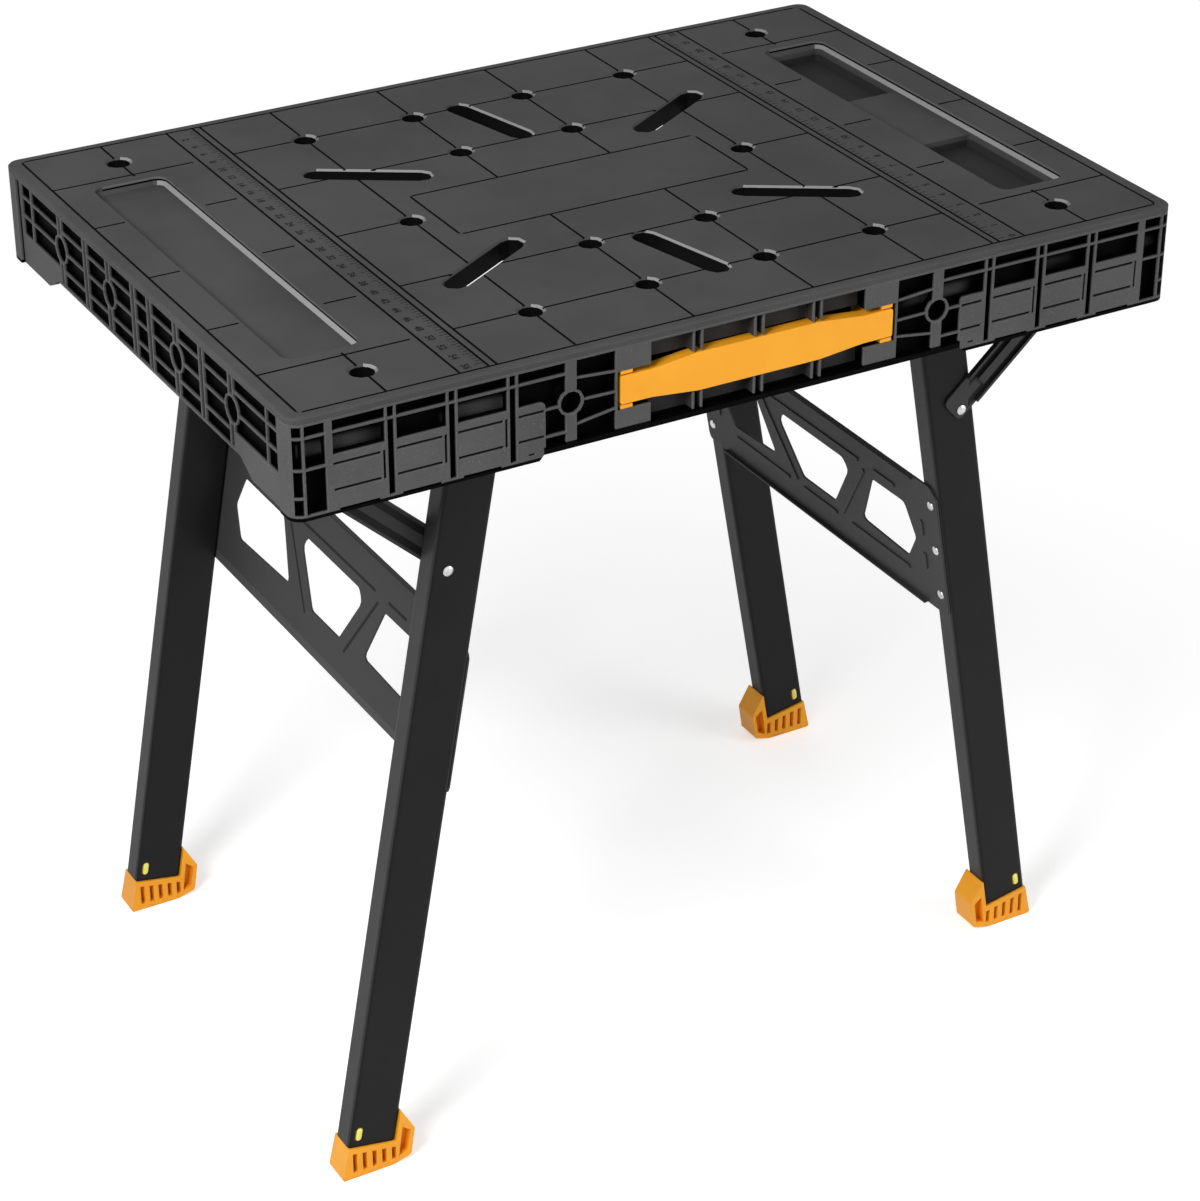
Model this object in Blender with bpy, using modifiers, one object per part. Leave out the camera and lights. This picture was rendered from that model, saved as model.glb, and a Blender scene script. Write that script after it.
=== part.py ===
"""Folding portable workbench: ribbed moulded top on two folding steel leg frames.

Metres, +Z up. The origin is on the floor under the middle of the top; the carry
handle is on the -Y side. The left leg frame is the wide one, the right leg frame
is the narrow one, so that the two fold flat past each other inside the top.
"""

import math

import bmesh
import bpy
from mathutils import Matrix, Vector

# Overall sizes
bench_length = 0.838
bench_width = 0.590
bench_height = 0.775
layout_length = 0.838
layout_width = 0.590
slab_depth = 0.0885
corner_radius = 0.012
clearance = 0.0003
round_sides = 12
small_sides = 10

# Deck
deck_thickness = 0.006
deck_edge_bevel = 0.0012
dog_hole_radius = 0.0103
dog_rim_width = 0.0024
dog_rim_depth = 0.0016
collar_wall = 0.0024
collar_drop = 0.013
slot_radius = 0.0105
slot_rim_width = 0.0018
groove_width = 0.0022
groove_depth = 0.0010
row_inset = 0.084
column_inner = 0.0566
column_outer = 0.1653
inner_hole_y = 0.1166
corner_hole_inset_x = 0.0873
corner_hole_inset_y = 0.0516
diagonal_near = (0.1050, 0.0790)
diagonal_far = (0.2015, 0.1385)
centre_slot_y = 0.169
centre_slot_lean = 0.0126
centre_slot_half = 0.0542
frame_groove_inset_x = 0.0125
frame_groove_inset_y = 0.0095
centre_panel_half_x = 0.143
centre_panel_half_y = 0.047
ruler_layout = (0.2355, 0.2425, 0.2680)
tray_inner_inset = 0.110
tray_width = 0.067
tray_end_inset = 0.0975
tray_depth = 0.0068
tray_corner = 0.010
tray_floor = 0.0025
pocket_depth = 0.0185
pocket_width = 0.057
pocket_margin = 0.005
pocket_gap_half = 0.061
pocket_floor = 0.0018

# Walls
wall_skin = 0.0030
front_pocket_depth = 0.0100
end_pocket_depth = 0.0055
end_wall_recess = 0.0035
rib_thickness = 0.0018
rib_pair_pitch = 0.0077
post_depth = 0.0230
post_width = 0.0200
lip_height = 0.0080
foot_lip_height = 0.0045
ledge_height = 0.0065
panel_groove = 0.0026
panel_groove_depth = 0.0030
rib_levels = (0.0180, 0.0450, 0.0690)
front_pair_layout = (0.1750, 0.2272, 0.2805, 0.3336)
boss_bay_gap = 0.0187
raised_layout = 0.2000
raised_slant = 0.0050
raised_edge = 0.0045
corner_column_layout = 0.3865
ring_boss_radius = 0.0117
ring_boss_wall = 0.0020
ring_boss_drop = 0.0440
boss_setback = 0.0002
fan_setback = 0.0005
end_pair_layout = (0.0170, 0.0705, 0.1215, 0.1785)
end_outer_rib_layout = 0.2450
end_ring_layout = (0.0705, 0.1785)
end_ring_radius = 0.0135
end_ring_drop = 0.0410
end_levels = (0.0230, 0.0410, 0.0600)
end_arch_rise = 0.0125
end_arch_top_layout = 0.1920
end_arch_foot_layout = 0.2130

# Carry handle and its housing
guide_wall = 0.0065
housing_depth = 0.0410
housing_wall = 0.0030
block_length = 0.0277
recess_depth = 0.0120
curtain_thickness = 0.0025
guide_gap = 0.0030
handle_half = 0.1300
handle_end_height = 0.0250
handle_mid_height = 0.0340
handle_taper = 0.0720
handle_thickness = 0.0115
handle_drop = 0.0445
handle_arm_width = 0.0180
handle_travel = 0.0200
handle_stop = 0.0018
handle_stop_rise = 0.0030
handle_lug_length = 0.0112
handle_lug_height = 0.0032
handle_lug_gap = 0.0012
finger_rib_x = (-0.058, 0.0, 0.056)

# Leg frames
leg_lean = math.radians(10.1)
tube_width = 0.0465
tube_depth = 0.0240
tube_wall = 0.0015
tube_corner = 0.0030
wide_leg_inset = 0.0455
lane_width = 0.0130
top_pin_drop = 0.0770
tube_overrun = 0.0120
tube_chamfer = 0.0100
pin_radius = 0.0035
rivet_head = 0.0047
track_clearance = 0.0005
track_wall = 0.0045
track_thickness = 0.0065
track_gap_to_leg = 0.0030
track_hanger_gap = 0.0040
track_flange = 0.0030
track_flange_half = 0.0100
fold_drop_wide = 0.0620
fold_drop_narrow = 0.0635

# Braces
anchor_inset = 0.0240
anchor_drop = 0.0750
brace_run = 0.1300
brace_drop = 0.1180
pin_run = 0.0297
pin_rise = 0.1160
brace_plate = 0.0020
brace_bead = 0.0030
brace_low_side = 0.0070
brace_high_side = 0.0200
brace_end = 0.0080
bracket_plate = 0.0022
bracket_height = 0.0220

# Gussets
gusset_thickness = 0.0018
gusset_top = 0.1930
gusset_bottom = 0.3320
gusset_bead = 0.0012
gusset_lip = 0.0040

# Feet
foot_depth = 0.0280
foot_spigot = 0.0280
foot_sole_out = 0.0252
foot_sole_in = -0.0246
foot_slot_width = 0.0042
foot_slot_pitch = 0.0095
foot_slot_depth = 0.0090
foot_slot_base = 0.0060
tab_width = 0.0050
tab_length = 0.0120
tab_margin = 0.0015

half_length = bench_length / 2
half_width = bench_width / 2
deck_under = bench_height - deck_thickness
wall_top = deck_under - clearance
slab_bottom = bench_height - slab_depth
wide_face = half_width - wide_leg_inset
narrow_face = wide_face - tube_depth - lane_width
anchor_x = half_length - anchor_inset
anchor_z = bench_height - anchor_drop
hinge_x = anchor_x - brace_run
hinge_z = anchor_z - brace_drop
top_pin_x = hinge_x - pin_run
top_pin_z = hinge_z + pin_rise
brace_length = math.hypot(brace_run, brace_drop)
brace_slope = math.atan2(brace_drop, brace_run)
hinge_out = pin_run * math.cos(leg_lean) - pin_rise * math.sin(leg_lean)
hinge_down = pin_run * math.sin(leg_lean) + pin_rise * math.cos(leg_lean)


# Rulers, wall ribs and gusset windows keep their share of the length and the width
stretch_x = bench_length / layout_length
stretch_y = bench_width / layout_width
ruler_lines = [x * stretch_x for x in ruler_layout]
tray_half_length = half_width - tray_end_inset
front_pair_x = [x * stretch_x for x in front_pair_layout]
corner_column_x = corner_column_layout * stretch_x
raised_half = raised_layout * stretch_x
end_pair_y = [y * stretch_y for y in end_pair_layout]
end_ring_y = [y * stretch_y for y in end_ring_layout]
end_outer_rib_y = end_outer_rib_layout * stretch_y
end_arch_half = end_arch_top_layout * stretch_y
end_arch_foot = end_arch_foot_layout * stretch_y
guide_half = handle_half + guide_gap
housing_half = guide_half + guide_wall
recess_half = handle_half - block_length
handle_mid_half = handle_half - handle_taper

collection = bpy.context.scene.collection


def clear_scene():
    for obj in list(bpy.data.objects):
        bpy.data.objects.remove(obj, do_unlink=True)
    for group in list(bpy.data.collections):
        bpy.data.collections.remove(group)


def new_collection(name):
    group = bpy.data.collections.new(name)
    collection.children.link(group)
    return group


def material(name, colour, roughness, metallic=0.0):
    mat = bpy.data.materials.new(name)
    mat.use_nodes = True
    shader = mat.node_tree.nodes["Principled BSDF"]
    shader.inputs["Base Color"].default_value = (*colour, 1.0)
    shader.inputs["Roughness"].default_value = roughness
    shader.inputs["Metallic"].default_value = metallic
    mat.diffuse_color = (*colour, 1.0)
    return mat


def baked(obj):
    """The evaluated mesh of a temporary object, welded, with the object removed."""
    depsgraph = bpy.context.evaluated_depsgraph_get()
    mesh = bpy.data.meshes.new_from_object(obj.evaluated_get(depsgraph))
    mesh.transform(obj.matrix_world)
    bm = bmesh.new()
    bm.from_mesh(mesh)
    bmesh.ops.remove_doubles(bm, verts=bm.verts, dist=0.000001)
    bmesh.ops.dissolve_limit(bm, angle_limit=0.0005, verts=bm.verts, edges=bm.edges)
    bmesh.ops.recalc_face_normals(bm, faces=bm.faces)
    bm.to_mesh(mesh)
    bm.free()
    bpy.data.objects.remove(obj, do_unlink=True)
    return mesh


def lofted(sections):
    """A solid through outlines of equal point counts, each given with its height, lowest first."""
    bm = bmesh.new()
    rings = [[bm.verts.new((x, y, z)) for x, y in loop] for loop, z in sections]
    for lower, upper in zip(rings, rings[1:]):
        for i in range(len(lower)):
            j = (i + 1) % len(lower)
            bm.faces.new((lower[i], lower[j], upper[j], upper[i]))
    bm.faces.new(list(reversed(rings[0])))
    bm.faces.new(rings[-1])
    bmesh.ops.recalc_face_normals(bm, faces=bm.faces)
    mesh = bpy.data.meshes.new("loft")
    bm.to_mesh(mesh)
    bm.free()
    return mesh


def prism(loops, depth, axes="XY", level=0.0):
    """A flat outline, with any holes, extruded to a depth across its plane."""
    turn = {
        "XY": Matrix.Identity(4),
        "XZ": Matrix(((1, 0, 0, 0), (0, 0, -1, 0), (0, 1, 0, 0), (0, 0, 0, 1))),
        "YZ": Matrix(((0, 0, 1, 0), (1, 0, 0, 0), (0, 1, 0, 0), (0, 0, 0, 1))),
    }[axes]
    shift = {"XY": (0, 0, level), "XZ": (0, level, 0), "YZ": (level, 0, 0)}[axes]
    if len(loops) == 1:
        mesh = lofted([(loops[0], -depth / 2), (loops[0], depth / 2)])
        mesh.transform(Matrix.Translation(shift) @ turn)
        return mesh
    curve = bpy.data.curves.new("outline", "CURVE")
    curve.dimensions = "2D"
    curve.fill_mode = "BOTH"
    curve.extrude = depth / 2
    for loop in loops:
        spline = curve.splines.new("POLY")
        spline.points.add(len(loop) - 1)
        for point, (x, y) in zip(spline.points, loop):
            point.co = (x, y, 0.0, 1.0)
        spline.use_cyclic_u = True
    obj = bpy.data.objects.new("outline", curve)
    collection.objects.link(obj)
    bpy.context.view_layer.update()
    mesh = baked(obj)
    mesh.transform(Matrix.Translation(shift) @ turn)
    bpy.data.curves.remove(curve)
    return mesh


def turned(profile, steps, axis="Z", centre=(0.0, 0.0, 0.0)):
    """A solid of revolution from (radius, height) pairs that run from top to bottom."""
    mesh = bpy.data.meshes.new("profile")
    edges = [(i, i + 1) for i in range(len(profile) - 1)]
    mesh.from_pydata([(r, 0.0, h) for r, h in profile], edges, [])
    obj = bpy.data.objects.new("profile", mesh)
    collection.objects.link(obj)
    screw = obj.modifiers.new("Screw", "SCREW")
    screw.axis = "Z"
    screw.steps = steps
    screw.render_steps = steps
    screw.use_merge_vertices = True
    screw.merge_threshold = 0.00001
    bpy.context.view_layer.update()
    result = baked(obj)
    turn = {
        "Z": Matrix.Identity(4),
        "Y": Matrix.Rotation(math.radians(-90), 4, "X"),
        "X": Matrix.Rotation(math.radians(90), 4, "Y"),
    }[axis]
    result.transform(Matrix.Translation(centre) @ turn)
    return result


def box(low, high):
    """A cuboid between two corners."""
    bm = bmesh.new()
    size = [h - l for l, h in zip(low, high)]
    middle = [(h + l) / 2 for l, h in zip(low, high)]
    bmesh.ops.create_cube(bm, size=1.0, matrix=Matrix.Translation(middle) @ Matrix.Diagonal((*size, 1.0)))
    mesh = bpy.data.meshes.new("box")
    bm.to_mesh(mesh)
    bm.free()
    return mesh


def gathered(meshes):
    """Several meshes in one mesh, still as separate shells."""
    bm = bmesh.new()
    for mesh in meshes:
        bm.from_mesh(mesh)
    result = bpy.data.meshes.new("gathered")
    bm.to_mesh(result)
    bm.free()
    return result


def rounded(corners, segments=2):
    """An outline whose corners, given as (x, y, radius), are turned into arcs."""
    loop = []
    count = len(corners)
    for i, (x, y, radius) in enumerate(corners):
        here = Vector((x, y))
        if radius <= 0:
            loop.append((x, y))
            continue
        back = (Vector(corners[i - 1][:2]) - here).normalized()
        ahead = (Vector(corners[(i + 1) % count][:2]) - here).normalized()
        half = back.angle(ahead) / 2
        centre = here + (back + ahead).normalized() * (radius / math.sin(half))
        start = here + back * (radius / math.tan(half)) - centre
        end = here + ahead * (radius / math.tan(half)) - centre
        first = math.atan2(start.y, start.x)
        sweep = (math.atan2(end.y, end.x) - first + math.pi) % (2 * math.pi) - math.pi
        for j in range(segments + 1):
            angle = first + sweep * j / segments
            loop.append((centre.x + radius * math.cos(angle), centre.y + radius * math.sin(angle)))
    return loop


def rectangle(x0, x1, y0, y1, radius=0.0, segments=2):
    return rounded([(x0, y0, radius), (x1, y0, radius), (x1, y1, radius), (x0, y1, radius)], segments)


def circle(x, y, radius, sides=round_sides):
    angles = [2 * math.pi * (i + 0.5) / sides for i in range(sides)]
    return [(x + radius * math.cos(angle), y + radius * math.sin(angle)) for angle in angles]


def stadium(start, end, radius, segments=4):
    """The outline of a slot with round ends between two points."""
    a = Vector(start)
    b = Vector(end)
    heading = math.atan2(b.y - a.y, b.x - a.x)
    loop = []
    for centre, turn in ((b, -math.pi / 2), (a, math.pi / 2)):
        for j in range(segments + 1):
            angle = heading + turn + math.pi * j / segments
            loop.append((centre.x + radius * math.cos(angle), centre.y + radius * math.sin(angle)))
    return loop


def add_object(name, mesh, group, mat=None, parent=None):
    mesh.name = name
    obj = bpy.data.objects.new(name, mesh)
    group.objects.link(obj)
    if mat:
        mesh.materials.clear()
        mesh.materials.append(mat)
    if parent:
        obj.parent = parent
    return obj


def tool(name, meshes, owner):
    """A cutter or an addition, kept in its own collection and carried by its owner."""
    obj = add_object(name, gathered(meshes), tools, parent=owner)
    obj.hide_render = True
    obj.display_type = "WIRE"
    return obj


def combine(owner, operation, name, meshes):
    helper = tool(f"{owner.name}_{name}", meshes, owner)
    modifier = owner.modifiers.new(name, "BOOLEAN")
    modifier.operation = operation
    modifier.solver = "EXACT"
    modifier.object = helper
    helper.hide_viewport = True
    weld = owner.modifiers.new(f"{name}_weld", "WELD")
    weld.merge_threshold = 0.00001
    return modifier


def cut(owner, name, meshes):
    return combine(owner, "DIFFERENCE", name, meshes)


def join(owner, name, meshes):
    return combine(owner, "UNION", name, meshes)


def smooth_round(obj):
    obj.data.shade_smooth()
    obj.data.set_sharp_from_angle(angle=math.radians(35))


def axis_empty(name, location, pitch):
    """An empty on a joint axis, turned about Y to lie along its member."""
    empty = bpy.data.objects.new(name, None)
    empty.empty_display_size = 0.05
    empty.location = location
    empty.rotation_euler = (0.0, pitch, 0.0)
    bench.objects.link(empty)
    return empty


def both(values):
    return [sign * value for value in values for sign in (-1, 1)]


def dog_hole_centres():
    row_y = half_width - row_inset
    centres = [(x, y) for x in both((column_inner, column_outer)) for y in both((row_y,))]
    centres += [(x, y) for x in both((column_inner,)) for y in both((inner_hole_y,))]
    centres += [(x, 0.0) for x in both((column_outer,))]
    corner = (half_length - corner_hole_inset_x, half_width - corner_hole_inset_y)
    centres += [(x, y) for x in both((corner[0],)) for y in both((corner[1],))]
    return centres


def slot_ends():
    """Centre points of the round ends of the six clamping slots."""
    near = Vector(diagonal_near)
    far = Vector(diagonal_far)
    along = (far - near).normalized() * slot_radius
    near = near + along
    far = far - along
    ends = []
    for sx in (-1, 1):
        for sy in (-1, 1):
            ends.append(((sx * near.x, sy * near.y), (sx * far.x, sy * far.y)))
    reach = centre_slot_half - slot_radius
    lean = centre_slot_lean * reach / centre_slot_half
    run = math.sqrt(reach * reach - lean * lean)
    for sy in (-1, 1):
        ends.append(((-lean, sy * centre_slot_y + run), (lean, sy * centre_slot_y - run)))
    return ends


def make_deck():
    top = bench_height
    outline = rectangle(-half_length, half_length, -half_width, half_width, corner_radius, 5)
    inner = rectangle(
        -half_length + deck_edge_bevel,
        half_length - deck_edge_bevel,
        -half_width + deck_edge_bevel,
        half_width - deck_edge_bevel,
        corner_radius - deck_edge_bevel,
        5,
    )
    plate = lofted([(outline, deck_under), (outline, top - deck_edge_bevel), (inner, top)])
    deck = add_object("top_deck", plate, bench, materials["deck"])

    inside = top - deck_thickness / 2
    slot_low = deck_under - collar_drop
    additions = []
    for x, y in dog_hole_centres():
        ring = circle(x, y, dog_hole_radius + collar_wall)
        additions.append(prism([ring], inside - slot_low, level=(inside + slot_low) / 2))
    for start, end in slot_ends():
        loop = stadium(start, end, slot_radius + collar_wall)
        additions.append(prism([loop], inside - slot_low, level=(inside + slot_low) / 2))
    tray_x0 = half_length - tray_inner_inset
    tray_x1 = tray_x0 + tray_width
    pan = rectangle(
        tray_x0 - tray_floor,
        tray_x1 + tray_floor,
        -tray_half_length - tray_floor,
        tray_half_length + tray_floor,
        tray_corner,
    )
    pan_low = top - tray_depth - tray_floor
    mirrored_pan = [(-x, y) for x, y in pan]
    additions.append(prism([mirrored_pan], inside - pan_low, level=(inside + pan_low) / 2))
    join(deck, "collars", additions)
    pan_mesh = prism([pan], inside - pan_low, level=(inside + pan_low) / 2)
    join(deck, "right_pan", [pan_mesh])
    pocket_x0 = tray_x0 + pocket_margin
    pocket_x1 = pocket_x0 + pocket_width
    well_low = top - pocket_depth - pocket_floor
    wells = []
    pockets = []
    for sy in (-1, 1):
        y0, y1 = sorted((sy * pocket_gap_half, sy * (tray_half_length - pocket_margin)))
        well_x = (pocket_x0 - pocket_floor, pocket_x1 + pocket_floor)
        well = rectangle(*well_x, y0 - pocket_floor, y1 + pocket_floor, 0.004)
        well_high = top - tray_depth - tray_floor / 2
        wells.append(prism([well], well_high - well_low, level=(well_high + well_low) / 2))
        hollow = rectangle(pocket_x0, pocket_x1, y0, y1, 0.003)
        low = top - pocket_depth
        pockets.append(prism([hollow], pocket_depth + 0.001, level=low + (pocket_depth + 0.001) / 2))
    join(deck, "wells", wells)

    rise = 0.001
    over = top + rise
    rim = dog_hole_radius + dog_rim_width * (1 + rise / dog_rim_depth)
    bore = [
        (0.0, over),
        (rim, over),
        (dog_hole_radius, top - dog_rim_depth),
        (dog_hole_radius, slot_low - rise),
        (0.0, slot_low - rise),
    ]
    cuts = [turned(bore, round_sides, centre=(x, y, 0.0)) for x, y in dog_hole_centres()]
    for start, end in slot_ends():
        slim = stadium(start, end, slot_radius)
        wide = stadium(start, end, slot_radius + slot_rim_width * (1 + rise / dog_rim_depth))
        cuts.append(lofted([(slim, slot_low - rise), (slim, top - dog_rim_depth), (wide, over)]))
    for sx in (-1, 1):
        shelf = rectangle(tray_x0, tray_x1, -tray_half_length, tray_half_length, tray_corner, 4)
        lower = rectangle(
            tray_x0 + 0.003,
            tray_x1 - 0.003,
            -tray_half_length + 0.003,
            tray_half_length - 0.003,
            tray_corner - 0.003,
            4,
        )
        floor_z = top - tray_depth
        shelf = [(sx * x, y) for x, y in shelf]
        lower = [(sx * x, y) for x, y in lower]
        cuts.append(lofted([(lower, floor_z), (shelf, floor_z + 0.003), (shelf, over)]))
    cut(deck, "pockets", pockets)
    cut(deck, "openings", cuts)

    groove_low = top - groove_depth
    g = groove_width / 2

    def ring_groove(half_x, half_y, radius):
        loops = [
            rectangle(-half_x - g, half_x + g, -half_y - g, half_y + g, radius + g),
            rectangle(-half_x + g, half_x - g, -half_y + g, half_y - g, max(radius - g, 0.0)),
        ]
        return prism(loops, over - groove_low, level=(over + groove_low) / 2)

    frame_x = half_length - frame_groove_inset_x
    frame_y = half_width - frame_groove_inset_y
    cut(deck, "ring_grooves", [
        ring_groove(frame_x, frame_y, 0.004),
        ring_groove(centre_panel_half_x, centre_panel_half_y, 0.003),
    ])

    def across(y, x0, x1):
        return box((x0, y - g, groove_low), (x1, y + g, over))

    def along(x, y0, y1):
        return box((x - g, y0, groove_low), (x + g, y1, over))

    row_y = half_width - row_inset
    ruler_in = ruler_lines[0]
    ruler_out = ruler_lines[2] + 0.006
    x_lines = []
    for sy in (-1, 1):
        x_lines.append(across(sy * row_y, -ruler_in, ruler_in))
        x_lines.append(across(sy * inner_hole_y, -ruler_in, ruler_in))
    for sx in (-1, 1):
        for y in both((row_y,)):
            x_lines.append(across(y, *sorted((sx * ruler_out, sx * (frame_x + g / 2)))))
        for y in (-inner_hole_y, 0.0, inner_hole_y):
            x_lines.append(across(y, *sorted((sx * ruler_out, sx * (tray_x0 - 0.005)))))
            x_lines.append(across(y, *sorted((sx * (tray_x1 + 0.002), sx * (frame_x + g / 2)))))
        x_lines.append(across(0.0, *sorted((sx * column_outer, sx * ruler_in))))
    cut(deck, "cross_grooves", x_lines)
    y_lines = []
    corner_x = half_length - corner_hole_inset_x
    reach = frame_y + g / 2
    for sy in (-1, 1):
        for x in both((corner_x,)):
            y_lines.append(along(x, *sorted((sy * reach, sy * (row_y - 0.004)))))
        for x in both((column_outer,)):
            y_lines.append(along(x, *sorted((sy * reach, sy * (inner_hole_y - 0.006)))))
        for x in both((column_inner,)):
            y_lines.append(along(x, *sorted((sy * reach, sy * centre_panel_half_y))))
    for x in both((column_outer,)):
        y_lines.append(along(x, -inner_hole_y + 0.014, inner_hole_y - 0.014))
    for x in both(ruler_lines):
        y_lines.append(along(x, -reach, reach))
    cut(deck, "long_grooves", y_lines)
    return deck


def pocket_box(x0, x1, drop0, drop1, sy, depth):
    """A recess in a long wall, from its outer face, between two drops below the top."""
    face = half_width
    y0, y1 = sorted((sy * (face - depth), sy * (face + 0.001)))
    low = (min(x0, x1), y0, bench_height - drop1)
    high = (max(x0, x1), y1, bench_height - drop0)
    return box(low, high)


def bay_recesses(x0, x1, sy):
    """One bay of a long wall: two open cells, a ledge, two panels and their grooves."""
    rib = rib_thickness / 2
    ledge_top = rib_levels[1] - ledge_height - rib
    deep = [
        pocket_box(x0, x1, lip_height, rib_levels[0] - rib, sy, front_pocket_depth),
        pocket_box(x0, x1, rib_levels[0] + rib, ledge_top, sy, front_pocket_depth),
    ]
    low_edge = slab_depth - foot_lip_height
    panel_top = rib_levels[1] - rib
    shallow = [
        pocket_box(x0, x1 - 0.004, panel_top, panel_top + panel_groove, sy, panel_groove_depth),
        pocket_box(x0, x1 - 0.004, rib_levels[2] - panel_groove, rib_levels[2], sy, panel_groove_depth),
        pocket_box(x1 - 0.0025, x1, panel_top, rib_levels[2], sy, panel_groove_depth),
        pocket_box(x0 + 0.004, x1 - 0.006, low_edge, low_edge + 0.0018, sy, panel_groove_depth),
    ]
    return deep, shallow


def boss_bay(x0, x1, sx, sy):
    """The bay beside a ring boss: open cells above, and a panel that stops short of the boss."""
    rib = rib_thickness / 2
    ledge_top = rib_levels[1] - ledge_height - rib
    low_edge = slab_depth - foot_lip_height
    cell_low = low_edge - raised_edge
    fill = x0 + boss_bay_gap
    step = [
        (x0, rib_levels[1] - rib, 0.0),
        (fill, rib_levels[1] - rib, 0.0),
        (fill, ledge_top, 0.004),
        (x1, ledge_top, 0.0),
        (x1, rib_levels[0] + rib, 0.0),
        (x0, rib_levels[0] + rib, 0.0),
    ]
    loop = [(sx * x, bench_height - drop) for x, drop in rounded(step, 3)]
    level = sy * (half_width + (0.001 - front_pocket_depth) / 2)
    deep = [
        pocket_box(sx * x0, sx * x1, lip_height, rib_levels[0] - rib, sy, front_pocket_depth),
        prism([loop], front_pocket_depth + 0.001, "XZ", level),
        pocket_box(sx * x0, sx * fill, rib_levels[1] + rib, rib_levels[2] - rib, sy, front_pocket_depth),
        pocket_box(sx * x0, sx * fill, rib_levels[2] + rib, cell_low, sy, front_pocket_depth),
    ]
    end = x1 - 0.002 if sx > 0 else x1
    shallow = []
    for drop0, drop1 in (
        (rib_levels[1] - rib, rib_levels[1] - rib + panel_groove),
        (rib_levels[2] - panel_groove, rib_levels[2]),
    ):
        shallow.append(pocket_box(sx * (fill + 0.001), sx * end, drop0, drop1, sy, panel_groove_depth))
    notch = sx * (fill + 0.0095)
    drop0 = low_edge - 0.0040
    drop1 = low_edge - 0.0020
    shallow.append(pocket_box(notch, notch + sx * 0.006, drop0, drop1, sy, panel_groove_depth))
    return deep, shallow


def wall_section(sy, with_housing):
    """Plan outline of a long wall: thin skin, corner posts and, at the front, the handle housing."""
    skin = half_width - front_pocket_depth - wall_skin
    inner = half_width - post_depth
    back = half_width - housing_depth
    post_x = half_length - post_width
    corners = [(-half_length, -half_width, corner_radius), (half_length, -half_width, corner_radius)]
    corners += [(half_length, -inner, 0.0), (post_x, -inner, 0.0), (post_x, -skin, 0.0)]
    if with_housing:
        corners += [(housing_half, -skin, 0.0), (housing_half, -back, 0.0)]
        corners += [(-housing_half, -back, 0.0), (-housing_half, -skin, 0.0)]
    corners += [(-post_x, -skin, 0.0), (-post_x, -inner, 0.0), (-half_length, -inner, 0.0)]
    corners = [(x, -sy * y, r) for x, y, r in corners]
    return rounded(corners, 5)


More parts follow.
